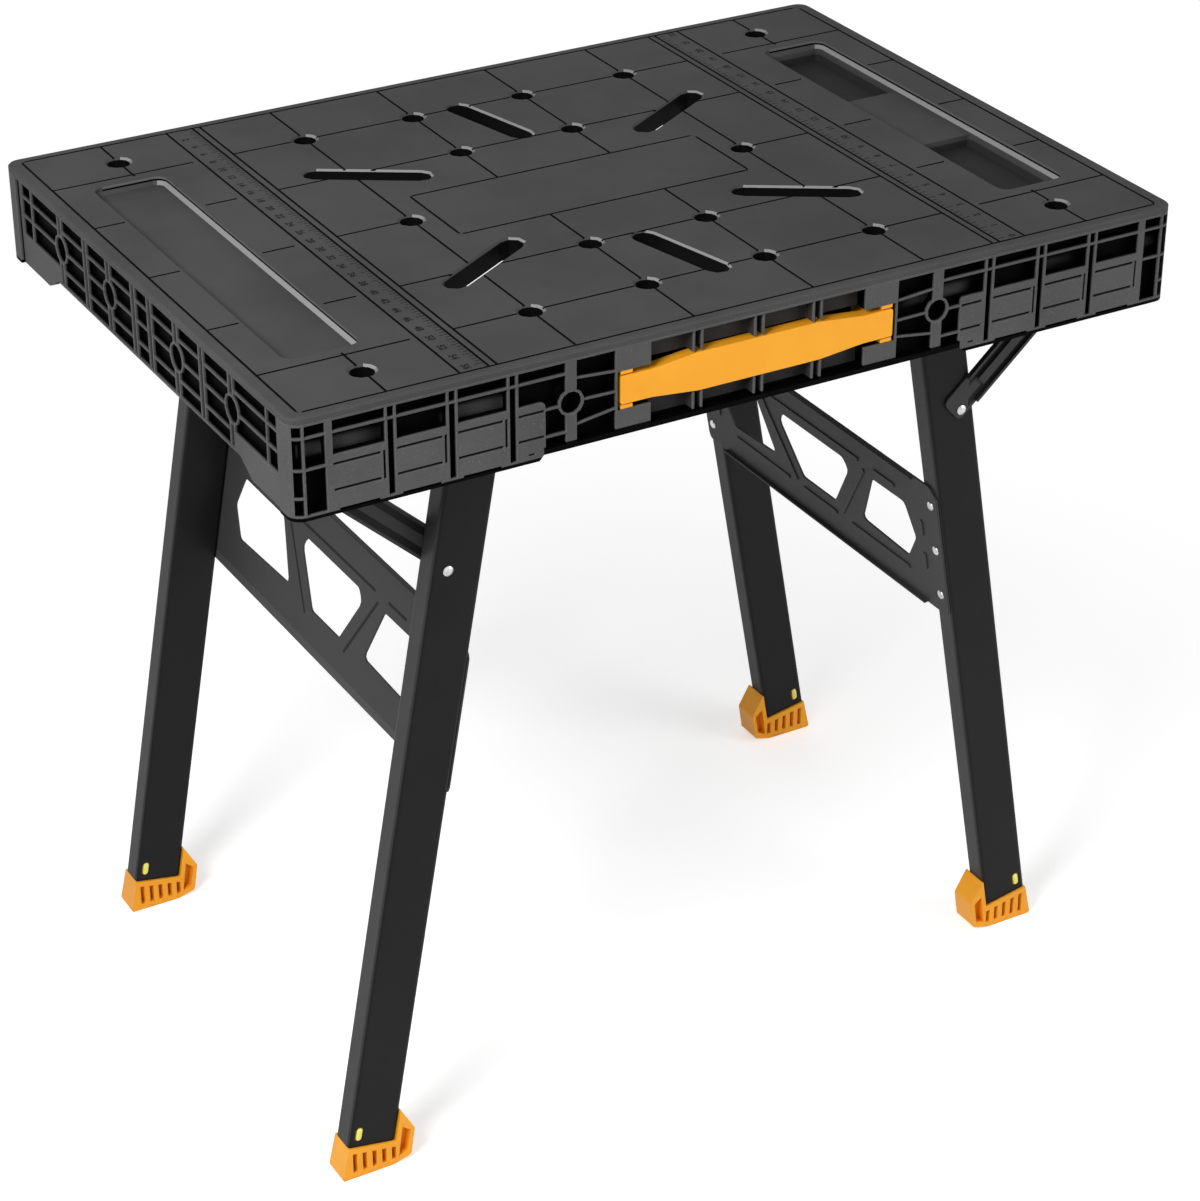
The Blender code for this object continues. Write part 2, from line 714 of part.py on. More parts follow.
def make_long_wall(name, sy, with_housing):
    height = wall_top - slab_bottom
    plan = prism([wall_section(sy, with_housing)], height, level=(wall_top + slab_bottom) / 2)
    wall = add_object(name, plan, bench, materials["wall"])
    rib = rib_thickness / 2
    half_pair = rib_pair_pitch / 2
    low_edge = slab_depth - foot_lip_height
    deep = []
    shallow = []
    flange_in = half_width - post_depth + 0.0005
    flange_out = half_width - front_pocket_depth - wall_skin / 2
    flange_y = sorted((sy * flange_in, sy * flange_out))
    flange_x = half_length - post_width / 2
    flange_z = slab_bottom + clearance
    flange = box((-flange_x, flange_y[0], flange_z), (flange_x, flange_y[1], flange_z + wall_skin))
    join(wall, "foot_flange", [flange])
    post_in = half_length - 0.0035
    column = corner_column_x
    mid_column = column + 0.0210
    for sx in (-1, 1):
        rows = [(lip_height, rib_levels[0] - rib), (rib_levels[0] + rib, rib_levels[1] - rib)]
        outer_rows = rows + [(rib_levels[1] + rib, rib_levels[2] - rib), (rib_levels[2] + rib, low_edge)]
        inner_rows = rows + [(rib_levels[1] + rib, low_edge)]
        outer_x = (sx * (mid_column + rib), sx * post_in)
        for drop0, drop1 in outer_rows:
            deep.append(pocket_box(*outer_x, drop0, drop1, sy, front_pocket_depth))
        inner_x = (sx * (column + 0.0025), sx * (mid_column - rib))
        for drop0, drop1 in inner_rows:
            deep.append(pocket_box(*inner_x, drop0, drop1, sy, front_pocket_depth))
        edges = [x for x in front_pair_x] + [column + half_pair - 0.0025]
        for i, x in enumerate(front_pair_x):
            slot = (sx * (x - half_pair + rib), sx * (x + half_pair - rib))
            for drop0, drop1 in ((lip_height, rib_levels[0] - rib), (rib_levels[0] + rib, low_edge)):
                if i == 0:
                    continue
                deep.append(pocket_box(slot[0], slot[1], drop0, drop1, sy, front_pocket_depth * 0.7))
            x0 = x + half_pair + rib
            x1 = edges[i + 1] - half_pair - rib
            if i == 0:
                bay_deep, bay_shallow = boss_bay(x0, x1, sx, sy)
                deep += bay_deep
                shallow += bay_shallow
                continue
            bay_deep, bay_shallow = bay_recesses(*sorted((sx * x0, sx * x1)), sy)
            deep += bay_deep
            shallow += bay_shallow
        # space for the fan of thin ribs between the ring boss and the middle of the wall
        fan_out = front_pair_x[0] - half_pair - rib
        fan_in = guide_half + 0.0015
        fan_low = low_edge - raised_edge
        deep.append(pocket_box(sx * fan_in, sx * fan_out, lip_height, fan_low, sy, front_pocket_depth))
    if not with_housing:
        count = 5
        pitch = 2 * guide_half / count
        for i in range(count):
            x0 = -guide_half + i * pitch + half_pair + rib
            x1 = -guide_half + (i + 1) * pitch - half_pair - rib
            bay_deep, bay_shallow = bay_recesses(x0, x1, sy)
            deep += bay_deep
            shallow += bay_shallow
            if i:
                x = -guide_half + i * pitch
                for drop0, drop1 in ((lip_height, rib_levels[0] - rib), (rib_levels[0] + rib, low_edge)):
                    slot = (x - half_pair + rib, x + half_pair - rib)
                    deep.append(pocket_box(slot[0], slot[1], drop0, drop1, sy, front_pocket_depth * 0.7))
    cut(wall, "cells", deep)
    if not with_housing:
        return wall
    cut(wall, "panel_grooves", shallow)
    raised = [
        (-raised_half - raised_slant, slab_bottom - 0.001),
        (-raised_half, slab_bottom + raised_edge),
        (raised_half, slab_bottom + raised_edge),
        (raised_half + raised_slant, slab_bottom - 0.001),
    ]
    span = housing_depth + 0.004
    cut(wall, "raised_edge", [prism([raised], span, "XZ", sy * (half_width + 0.001 - span / 2))])

    boss_z = bench_height - ring_boss_drop
    reach = front_pocket_depth + wall_skin / 2
    level = sy * (half_width - boss_setback - reach / 2)
    discs = []
    rings = []
    for sx in (-1, 1):
        x = sx * front_pair_x[0]
        disc = circle(x, boss_z, ring_boss_radius - ring_boss_wall / 2)
        cut_level = sy * (half_width - front_pocket_depth / 2 + 0.0005)
        discs.append(prism([disc], front_pocket_depth + 0.001, "XZ", cut_level))
        outer = circle(x, boss_z, ring_boss_radius)
        inner = circle(x, boss_z, ring_boss_radius - ring_boss_wall)
        rings.append(prism([outer, inner], reach, "XZ", level))
    cut(wall, "boss_discs", discs)
    join(wall, "boss_rings", rings)
    fans = []
    for sx in (-1, 1):
        x_out = sx * front_pair_x[0]
        x_in = sx * (guide_half + 0.0005)
        half = rib_thickness / 2
        for angle_deg, z_in in ((70, -0.0265), (0, -0.0445), (-70, -0.0590)):
            spread = math.radians(angle_deg)
            z_out = boss_z + (ring_boss_radius + 0.010) * math.sin(spread)
            inset = half_pair if angle_deg else ring_boss_radius - 0.0008
            start = (x_out - sx * inset, z_out)
            end = (x_in, bench_height + z_in)
            loop = [
                (start[0], start[1] - half),
                (end[0], end[1] - half),
                (end[0], end[1] + half),
                (start[0], start[1] + half),
            ]
            fans.append(prism([loop], reach, "XZ", sy * (half_width - fan_setback - reach / 2)))
    join(wall, "fan_ribs", fans)
    shape_housing(wall, sy)
    return wall


def shape_housing(wall, sy):
    """Recess, guide blocks, inner space and stiffening ribs for the carry handle."""
    face = half_width
    top = bench_height
    low_z = slab_bottom + raised_edge + foot_lip_height
    high_z = top - lip_height
    middle = top - handle_drop
    cavity_front = face - recess_depth - curtain_thickness
    cavity_back = face - housing_depth + housing_wall
    gap = handle_end_height / 2 + handle_lug_gap + handle_lug_height + clearance

    def block(x0, x1, d0, d1, z0, z1):
        y0, y1 = sorted((sy * d0, sy * d1))
        return box((x0, y0, z0), (x1, y1, z1))

    recess_back = face - recess_depth
    cut(wall, "handle_recess", [block(-recess_half, recess_half, recess_back, face + 0.001, low_z, high_z)])
    cut(wall, "handle_cavity", [block(-guide_half, guide_half, cavity_back, cavity_front, low_z, high_z)])
    mid_gap = handle_mid_height / 2 + 0.001
    passage_half = recess_half + 0.0001
    passage_y = (cavity_front - 0.001, recess_back + 0.001)
    passage = block(-passage_half, passage_half, *passage_y, middle - mid_gap, middle + mid_gap)
    cut(wall, "grip_passage", [passage])
    guides = []
    for sx in (-1, 1):
        x0, x1 = sorted((sx * (recess_half - 0.001), sx * guide_half))
        guides.append(block(x0, x1, cavity_front - 0.001, face + 0.001, middle - gap, middle + gap))
    cut(wall, "arm_guides", guides)
    ribs = []
    rib_y = (recess_back - 0.001, face - 0.0008)
    for x in finger_rib_x:
        for dx in both((rib_pair_pitch / 2,)):
            x0 = x + dx - rib_thickness / 2
            x1 = x + dx + rib_thickness / 2
            ribs.append(block(x0, x1, *rib_y, middle + mid_gap, high_z + 0.001))
            ribs.append(block(x0, x1, *rib_y, low_z - 0.001, middle - mid_gap))
    join(wall, "finger_ribs", ribs)


def make_end_wall(name, sx):
    inner_y = half_width - post_depth - clearance
    z0 = slab_bottom
    arch_z = slab_bottom + end_arch_rise
    outline = [
        (-inner_y, z0),
        (-end_arch_foot, z0),
        (-end_arch_half, arch_z),
        (end_arch_half, arch_z),
        (end_arch_foot, z0),
        (inner_y, z0),
        (inner_y, wall_top),
        (-inner_y, wall_top),
    ]
    outer_x = half_length - end_wall_recess
    thickness = end_pocket_depth + wall_skin
    slab = prism([outline], thickness, "YZ", sx * (outer_x - thickness / 2))
    wall = add_object(name, slab, bench, materials["wall"])
    rib = rib_thickness / 2
    half_pair = rib_pair_pitch / 2
    x_span = sorted((sx * (outer_x - end_pocket_depth), sx * (outer_x + 0.001)))

    def cell(y0, y1, drop0, drop1):
        low = (x_span[0], min(y0, y1), bench_height - drop1)
        high = (x_span[1], max(y0, y1), bench_height - drop0)
        return box(low, high)

    arch_drop = slab_depth - end_arch_rise - 0.002
    rows = [
        (lip_height, end_levels[0] - rib),
        (end_levels[0] + rib, end_levels[1] - rib),
        (end_levels[1] + rib, end_levels[2] - rib),
        (end_levels[2] + rib, arch_drop),
    ]
    cells = []
    spans = [(-end_pair_y[0] + half_pair + rib, end_pair_y[0] - half_pair - rib)]
    for sy in (-1, 1):
        for y0, y1 in zip(end_pair_y, end_pair_y[1:]):
            spans.append((sy * (y0 + half_pair + rib), sy * (y1 - half_pair - rib)))
    for y0, y1 in spans:
        cells += [cell(y0, y1, *row) for row in rows]
    for y in both(end_pair_y):
        cells.append(cell(y - half_pair + rib, y + half_pair - rib, lip_height, arch_drop))
    last = end_pair_y[-1] + half_pair + rib
    for sy in (-1, 1):
        cells += [cell(sy * last, sy * (end_outer_rib_y - rib), *row) for row in rows[:3]]
        cells += [cell(sy * (end_outer_rib_y + rib), sy * (inner_y - 0.004), *row) for row in rows[:3]]
    cut(wall, "cells", cells)

    boss_z = bench_height - end_ring_drop
    discs = []
    rings = []
    reach = end_pocket_depth + wall_skin / 2
    for y in both(end_ring_y):
        outer = circle(y, boss_z, end_ring_radius)
        disc = circle(y, boss_z, end_ring_radius - ring_boss_wall / 2)
        inner = circle(y, boss_z, end_ring_radius - ring_boss_wall)
        disc_level = sx * (outer_x - end_pocket_depth / 2 + 0.0005)
        discs.append(prism([disc], end_pocket_depth + 0.001, "YZ", disc_level))
        rings.append(prism([outer, inner], reach, "YZ", sx * (outer_x - boss_setback - reach / 2)))
    cut(wall, "boss_discs", discs)
    join(wall, "boss_rings", rings)
    return wall


def make_handle():
    """Pull-out grip: a swelling bar with two arms that end in stops behind the guide blocks."""
    sy = -1
    face = half_width
    middle = bench_height - handle_drop
    end = handle_end_height / 2
    mid = handle_mid_height / 2
    right = [
        (handle_mid_half, middle - mid, 0.030),
        (recess_half - 0.001, middle - end, 0.0),
        (handle_half, middle - end, 0.002),
        (handle_half, middle + end, 0.002),
        (recess_half - 0.001, middle + end, 0.0),
        (handle_mid_half, middle + mid, 0.030),
    ]
    left = [(-x, 2 * middle - z, r) for x, z, r in right]
    grip = prism([rounded(right + left, 4)], handle_thickness, "XZ", sy * (face - handle_thickness / 2))
    handle = add_object("carry_handle", grip, bench, materials["grip"])
    cavity_front = face - recess_depth - curtain_thickness
    stop_front = cavity_front - handle_travel - clearance
    stop_back = stop_front - handle_stop
    lug_low = end + handle_lug_gap
    lug_high = lug_low + handle_lug_height
    grip_back = face - handle_thickness
    arms = []
    stops = []
    lugs = []
    for sx in (-1, 1):
        x0, x1 = sorted((sx * (handle_half - handle_arm_width), sx * handle_half))
        y0, y1 = sorted((sy * (stop_back + 0.0004), sy * (face - handle_thickness / 2)))
        arms.append(box((x0 + 0.001, y0, middle - end + 0.003), (x1 - 0.001, y1, middle + end - 0.003)))
        y0, y1 = sorted((sy * stop_back, sy * stop_front))
        stop_half = lug_high + clearance + handle_stop_rise
        stops.append(box((x0 + 0.0004, y0, middle - stop_half), (x1 - 0.0004, y1, middle + stop_half)))
        lug_x = sorted((sx * (handle_half - handle_lug_length), sx * (handle_half - 0.0004)))
        for sz in (-1, 1):
            outline = [
                (face - 0.0006, lug_low),
                (face - 0.0006, lug_high),
                (grip_back - 0.0028, lug_high),
                (grip_back - 0.0028, end - 0.0045),
                (grip_back - 0.0004, end - 0.0045),
                (grip_back - 0.0004, lug_low),
            ]
            outline = [(sy * y, middle + sz * z) for y, z in outline]
            lugs.append(prism([outline], lug_x[1] - lug_x[0], "YZ", (lug_x[0] + lug_x[1]) / 2))
    join(handle, "arms", arms)
    join(handle, "stops", stops)
    join(handle, "lugs", lugs)
    return handle


def fold_ratio(fold_drop):
    """Brace swing to the folded pose, and leg turn about the brace per unit of brace swing."""
    folded_hinge_z = bench_height - fold_drop - hinge_out
    lift = math.asin((folded_hinge_z - anchor_z) / brace_length)
    swing = brace_slope + lift
    return swing, (math.pi / 2 + leg_lean) / swing - 1.0


def pin_path(fold_drop, points=17):
    """Centre of the top pin through the fold, for the right-hand frame, as (x, z)."""
    swing, ratio = fold_ratio(fold_drop)
    path = []
    for i in range(points):
        angle = swing * i / (points - 1)
        arm = Matrix.Rotation(-angle, 2) @ Vector((-brace_run, -brace_drop))
        head = Matrix.Rotation(-(1 + ratio) * angle, 2) @ Vector((-pin_run, pin_rise))
        path.append(Vector((anchor_x, anchor_z)) + arm + head)
    return path


def path_normals(path):
    normals = []
    for i in range(len(path)):
        before = path[max(i - 1, 0)]
        after = path[min(i + 1, len(path) - 1)]
        along = (after - before).normalized()
        normals.append(Vector((-along.y, along.x)))
    return normals


def end_arc(centre, first, reach, segments=4):
    """Half turn about an end of the path, starting from the direction first, clockwise."""
    start = math.atan2(first.y, first.x)
    angles = [start - math.pi * j / segments for j in range(1, segments)]
    return [(centre.x + reach * math.cos(angle), centre.y + reach * math.sin(angle)) for angle in angles]


def track_loops(fold_drop):
    """Outline of a pin track plate, with its hanger, and of the slot in it."""
    path = pin_path(fold_drop)
    normals = path_normals(path)
    inner = pin_radius + track_clearance
    outer = inner + track_wall
    slot = [tuple(p + n * inner) for p, n in zip(path, normals)]
    slot += end_arc(path[-1], normals[-1], inner)
    slot += [tuple(p - n * inner) for p, n in zip(reversed(path), reversed(normals))]
    slot += end_arc(path[0], -normals[0], inner)
    hang_x = half_length - tray_inner_inset - tray_floor - track_hanger_gap
    foot_x = path[0].x - outer
    plate_top = wall_top - track_flange * 2 / 3
    upper = [p + n * outer for p, n in zip(path, normals)]
    kept = [tuple(p) for p in upper if p.x > hang_x + track_hanger_gap / 2]
    plate = [(foot_x, plate_top), (hang_x, plate_top)]
    plate += [(hang_x, max(p.y for p in upper))]
    plate += kept
    plate += end_arc(path[-1], normals[-1], outer)
    plate += [tuple(p - n * outer) for p, n in zip(reversed(path), reversed(normals))]
    plate += end_arc(path[0], -normals[0], outer)[:2]
    return plate, slot, foot_x, hang_x


def make_track(name, sx, sy, near, fold_drop):
    """Pin track hung from the deck beside a leg; near is its face towards the leg."""
    plate, slot, foot_x, hang_x = track_loops(fold_drop)
    plate = [(sx * x, z) for x, z in plate]
    slot = [(sx * x, z) for x, z in slot]
    outward = 1 if near > wide_face - tube_depth else -1
    level = sy * (near + outward * track_thickness / 2)
    body = add_object(name, prism([plate, slot], track_thickness, "XZ", level), bench, materials["track"])
    x0, x1 = sorted((sx * foot_x, sx * hang_x))
    flange_y = (level - track_flange_half, level + track_flange_half)
    flange = box((x0, flange_y[0], wall_top - track_flange), (x1, flange_y[1], wall_top))
    join(body, "hanger_flange", [flange])
    return body


def make_bracket(name, sx, sy, plate_low, plate_high):
    """Folded channel on the end wall that holds the upper end of a brace between two ears."""
    wall_face = half_length - end_wall_recess - end_pocket_depth - wall_skin - clearance
    ear_in = plate_low - clearance
    ear_out = plate_high + clearance
    nose = anchor_x - 0.009
    t = bracket_plate
    plan = [
        (nose, ear_in - t),
        (wall_face, ear_in - t),
        (wall_face, ear_out + t),
        (nose, ear_out + t),
        (nose, ear_out),
        (wall_face - t, ear_out),
        (wall_face - t, ear_in),
        (nose, ear_in),
    ]
    plan = [(sx * x, sy * y) for x, y in plan]
    low = anchor_z - bracket_height / 2
    mesh = prism([plan], bracket_height, level=low + bracket_height / 2)
    bracket = add_object(name, mesh, bench, materials["steel"])
    bore = pin_radius + clearance
    y0 = sy * (ear_in - t - 0.001)
    y1 = sy * (ear_out + t + 0.001)
    cut(bracket, "pin_bore", [cross_bore(sx * anchor_x, anchor_z, y0, y1, bore)])
    pin_low = ear_in - t - 0.0004
    pin_high = ear_out + t + 0.0004
    head = 0.0012
    if plate_low > narrow_face + lane_width / 2:
        pin_low, pin_high = pin_high, pin_low
        head = -head
    span = pin_high - pin_low
    shank = turned(
        [
            (0.0, abs(span) / 2 + abs(head)),
            (pin_radius + 0.0015, abs(span) / 2 + abs(head)),
            (pin_radius + 0.0015, abs(span) / 2),
            (pin_radius, abs(span) / 2),
            (pin_radius, -abs(span) / 2),
            (0.0, -abs(span) / 2),
        ],
        round_sides,
        "Y",
    )
    outward = sy if head > 0 else -sy
    if outward < 0:
        shank.transform(Matrix.Rotation(math.pi, 4, "X"))
    shank.transform(Matrix.Translation((sx * anchor_x, sy * (pin_low + pin_high) / 2, anchor_z)))
    pin = add_object(name.replace("bracket", "pin"), shank, bench, materials["bright"])
    smooth_round(pin)
    return bracket


def brace_outline():
    """Outline of a brace from its anchor (x = 0) to its leg hinge, high side up."""
    return rounded(
        [
            (-0.0075, -brace_low_side, 0.006),
            (-0.0075, 0.0105, 0.006),
            (0.006, brace_high_side, 0.006),
            (brace_length + brace_end, brace_high_side, 0.006),
            (brace_length + brace_end, -brace_low_side, 0.005),
        ]
    )


def make_brace(name, sx, sy, plate_low, plate_high, beads_outward, parent):
    """Stamped strut; local X runs from the anchor to the hinge."""
    flip = -sx
    loop = [(x, flip * y) for x, y in brace_outline()]
    level = sy * (plate_low + plate_high) / 2
    strut = prism([loop], plate_high - plate_low, "XZ", level)
    body = add_object(name, strut, bench, materials["steel"], parent)
    bead_y = plate_high - 0.0005 if beads_outward else plate_low + 0.0005
    bead_end = plate_high + brace_bead if beads_outward else plate_low - brace_bead
    y0, y1 = sorted((sy * bead_y, sy * bead_end))
    beads = []
    spans = [
        (-brace_low_side, -brace_low_side + 0.0028, 0.014, brace_length - 0.0150),
        (0.0020, 0.0110, 0.016, brace_length - 0.0300),
        (brace_high_side - 0.0028, brace_high_side, 0.012, brace_length - 0.0240),
    ]
    for q0, q1, p0, p1 in spans:
        z0, z1 = sorted((flip * q0, flip * q1))
        beads.append(box((p0, y0, z0), (p1, y1, z1)))
    join(body, "beads", beads)
    bore = pin_radius + clearance
    reach = (plate_high - plate_low) / 2 + 0.001
    holes = [cross_bore(x, 0.0, level - reach, level + reach, bore) for x in (0.0, brace_length)]
    cut(body, "pin_bores", holes)
    return body


class Frame:
    """One leg frame: its side, its leg faces, and where its braces and tracks lie."""

    def __init__(self, side, sx, outer_face, brace_outside, fold_drop):
        self.side = side
        self.sx = sx
        self.outer = outer_face
        self.inner = outer_face - tube_depth
        self.middle = outer_face - tube_depth / 2
        self.brace_outside = brace_outside
        self.fold_drop = fold_drop
        if brace_outside:
            self.plate_low = self.outer + clearance
            self.plate_high = self.plate_low + brace_plate
            self.track_near = self.inner - track_gap_to_leg
            self.track_far = self.track_near - track_thickness
        else:
            self.plate_high = self.inner - clearance
            self.plate_low = self.plate_high - brace_plate
            self.track_near = self.outer + track_gap_to_leg
            self.track_far = self.track_near + track_thickness
        self.brace_axis = axis_empty(
            f"{side}_brace_axis",
            (sx * anchor_x, 0.0, anchor_z),
            math.pi - brace_slope if sx > 0 else brace_slope,
        )
        self.leg_axis = axis_empty(f"{side}_leg_axis", (sx * hinge_x, 0.0, hinge_z), -sx * leg_lean)

    def at(self, out, down):
        """Local X and Z of a point given outwards from the leg's centre line and down from its top pin."""
        return (self.sx * (out - hinge_out), hinge_down - down)

    def floor_point(self, out, z):
        """Local X and Z of a point given from where the centre line meets the floor."""
        x = top_pin_x + math.tan(leg_lean) * top_pin_z + out
        dx = x - top_pin_x
        dz = top_pin_z - z
        down = dx * math.sin(leg_lean) + dz * math.cos(leg_lean)
        across = dx * math.cos(leg_lean) - dz * math.sin(leg_lean)
        return self.at(across, down)


def tube_end_down():
    """Distance along the leg from its top pin to the lower end of the tube."""
    return (top_pin_z - 0.0292) / math.cos(leg_lean)


def cross_bore(x, z, y0, y1, radius, steps=small_sides):
    span = abs(y1 - y0)
    profile = [(0.0, span / 2), (radius, span / 2), (radius, -span / 2), (0.0, -span / 2)]
    return turned(profile, steps, "Y", (x, (y0 + y1) / 2, z))


def make_leg(frame, end, sy):
    name = f"{frame.side}_{end}"
    low = tube_end_down()
    length = low + tube_overrun
    half_w = tube_width / 2
    half_d = tube_depth / 2
    outer = rectangle(-half_w, half_w, -half_d, half_d, tube_corner)
    inner_radius = tube_corner - tube_wall
    bore_w = half_w - tube_wall
    bore_d = half_d - tube_wall
    inner = rectangle(-bore_w, bore_w, -bore_d, bore_d, inner_radius)
    mesh = prism([outer, inner], length)
    x, z_top = frame.at(0.0, -tube_overrun)
    mesh.transform(Matrix.Translation((x, sy * frame.middle, z_top - length / 2)))
    leg = add_object(f"{name}_leg", mesh, bench, materials["tube"], frame.leg_axis)

    chamfers = []
    depth = tube_depth + 0.004
    for side in (-1, 1):
        corner = frame.at(side * (half_w + 0.001), -tube_overrun - 0.001)
        reach = tube_chamfer + 0.002
        loop = [corner, (corner[0] - side * frame.sx * reach, corner[1]), (corner[0], corner[1] - reach)]
        chamfers.append(prism([loop], depth, "XZ", sy * frame.middle))
    cut(leg, "mitres", chamfers)
    hinge = frame.at(hinge_out, hinge_down)
    pin = frame.at(0.0, 0.0)
    y0 = sy * (frame.inner - 0.001)
    y1 = sy * (frame.outer + 0.001)
    bore = pin_radius + clearance
    bores = [cross_bore(hinge[0], hinge[1], y0, y1, bore), cross_bore(pin[0], pin[1], y0, y1, bore)]
    tab = frame.at(0.0141, low - 0.0131)
    slot_half = (tab_length - tab_width) / 2
    window_ends = ((tab[0], tab[1] - slot_half), (tab[0], tab[1] + slot_half))
    window = stadium(*window_ends, tab_width / 2 + tab_margin, 4)
    window_y = sy * frame.middle - (half_d - tube_wall / 2)
    bores.append(prism([window], tube_wall * 3, "XZ", window_y))
    cut(leg, "bores", bores)
    gap = clearance
    inner_w = half_w - tube_wall - gap
    inner_d = half_d - tube_wall - gap
    plug_low = pin_radius + 0.0012
    edge = half_w - tube_chamfer + (tube_overrun - plug_low)
    plug_side = min(edge, inner_w)
    corners = [
        frame.at(plug_side, -plug_low),
        frame.at(half_w - tube_chamfer, -tube_overrun),
        frame.at(-half_w + tube_chamfer, -tube_overrun),
        frame.at(-plug_side, -plug_low),
    ]
    plug = prism([corners], inner_d * 2, "XZ", sy * frame.middle)
    add_object(f"{name}_leg_plug", plug, bench, materials["plug"], frame.leg_axis)
    make_foot(frame, name, sy, tab, slot_half)

    # top pin, flush on the brace side and standing out into the track on the other
    if frame.brace_outside:
        a = frame.outer - 0.0002
        b = frame.track_far + 0.0005
    else:
        a = frame.inner + 0.0002
        b = frame.track_far - 0.0005
    span = abs(b - a)
    edge = 0.0006
    profile = [
        (0.0, span / 2),
        (pin_radius - edge, span / 2),
        (pin_radius, span / 2 - edge),
        (pin_radius, -span / 2 + edge),
        (pin_radius - edge, -span / 2),
        (0.0, -span / 2),
    ]
    top_pin = turned(profile, round_sides, "Y", (pin[0], sy * (a + b) / 2, pin[1]))
    obj = add_object(f"{name}_top_pin", top_pin, bench, materials["bright"], frame.leg_axis)
    smooth_round(obj)

    # hinge rivet through the leg and the brace
    if frame.brace_outside:
        high = frame.plate_high + clearance
        low_face = frame.inner - clearance
    else:
        high = frame.outer + clearance
        low_face = frame.plate_low - clearance
    centre = (high + low_face) / 2
    half = (high - low_face) / 2
    head = 0.0022
    profile = [
        (0.0, half + head),
        (0.0029, half + head * 0.8),
        (rivet_head, half + head * 0.25),
        (rivet_head, half),
        (pin_radius, half),
        (pin_radius, -half),
        (rivet_head, -half),
        (rivet_head, -half - head * 0.25),
        (0.0029, -half - head * 0.8),
        (0.0, -half - head),
    ]
    rivet = turned(profile, round_sides, "Y", (hinge[0], sy * centre, hinge[1]))
    obj = add_object(f"{name}_hinge_rivet", rivet, bench, materials["bright"], frame.leg_axis)
    smooth_round(obj)
    return leg


def make_foot(frame, name, sy, tab, slot_half):
    """Rubber-soled boot: raked toe on the inner side, ribbed faces, and a spigot in the tube."""
    end = tube_end_down() + clearance
    half_w = tube_width / 2
    toe = -half_w - clearance
    corners = [
        (*frame.floor_point(foot_sole_out, 0.0), 0.002),
        (*frame.at(half_w, end), 0.0),
        (*frame.at(toe, end), 0.0),
        (*frame.at(toe, end - 0.0305), 0.0),
        (*frame.at(toe - 0.0012, end - 0.0308), 0.0),
        (*frame.floor_point(-0.0470, 0.0330), 0.003),
        (*frame.floor_point(-0.0426, 0.0050), 0.003),
        (*frame.floor_point(foot_sole_in, 0.0), 0.004),
    ]
    boot = prism([rounded(corners)], foot_depth, "XZ", sy * frame.middle)
    foot = add_object(f"{name}_foot", boot, bench, materials["grip"], frame.leg_axis)
    gap = clearance
    inner_w = half_w - tube_wall - gap
    inner_d = tube_depth / 2 - tube_wall - gap
    x0, z0 = frame.at(-inner_w, end + 0.002)
    x1, z1 = frame.at(inner_w, end - foot_spigot)
    y_mid = sy * frame.middle
    spigot_radius = tube_corner - tube_wall
    section = rectangle(min(x0, x1), max(x0, x1), y_mid - inner_d, y_mid + inner_d, spigot_radius, 1)
    join(foot, "spigot", [lofted([(section, z0), (section, z1)])])
    button = stadium((tab[0], tab[1] - slot_half), (tab[0], tab[1] + slot_half), tab_width / 2, 4)
    face = inner_d - 0.001
    reach = tube_depth / 2 - 0.0003
    level = sy * frame.middle - (face + reach) / 2
    join(foot, "button", [prism([button], reach - face, "XZ", level)])
    ribs = []
    for i in range(5):
        centre = -0.0258 + i * foot_slot_pitch
        top = 0.0193 + 0.00175 * i
        loop = [
            frame.floor_point(centre - foot_slot_width / 2, foot_slot_base),
            frame.floor_point(centre + foot_slot_width / 2, foot_slot_base),
            frame.floor_point(centre + foot_slot_width / 2, top + 0.0004),
            frame.floor_point(centre - foot_slot_width / 2, top - 0.0004),
        ]
        ribs.append(loop)
    toe_cell = [
        frame.floor_point(-0.0350, 0.0381),
        frame.floor_point(-0.0429, 0.0315),
        frame.floor_point(-0.0392, 0.0101),
        frame.floor_point(-0.0305, 0.0073),
    ]
    ribs.append(toe_cell)
    cells = []
    for side in (-1, 1):
        outer = frame.middle + side * (foot_depth / 2 + 0.001)
        inner = frame.middle + side * (foot_depth / 2 - foot_slot_depth)
        for loop in ribs:
            cells.append(prism([loop], abs(outer - inner), "XZ", sy * (outer + inner) / 2))
    cut(foot, "cells", cells)
    return foot


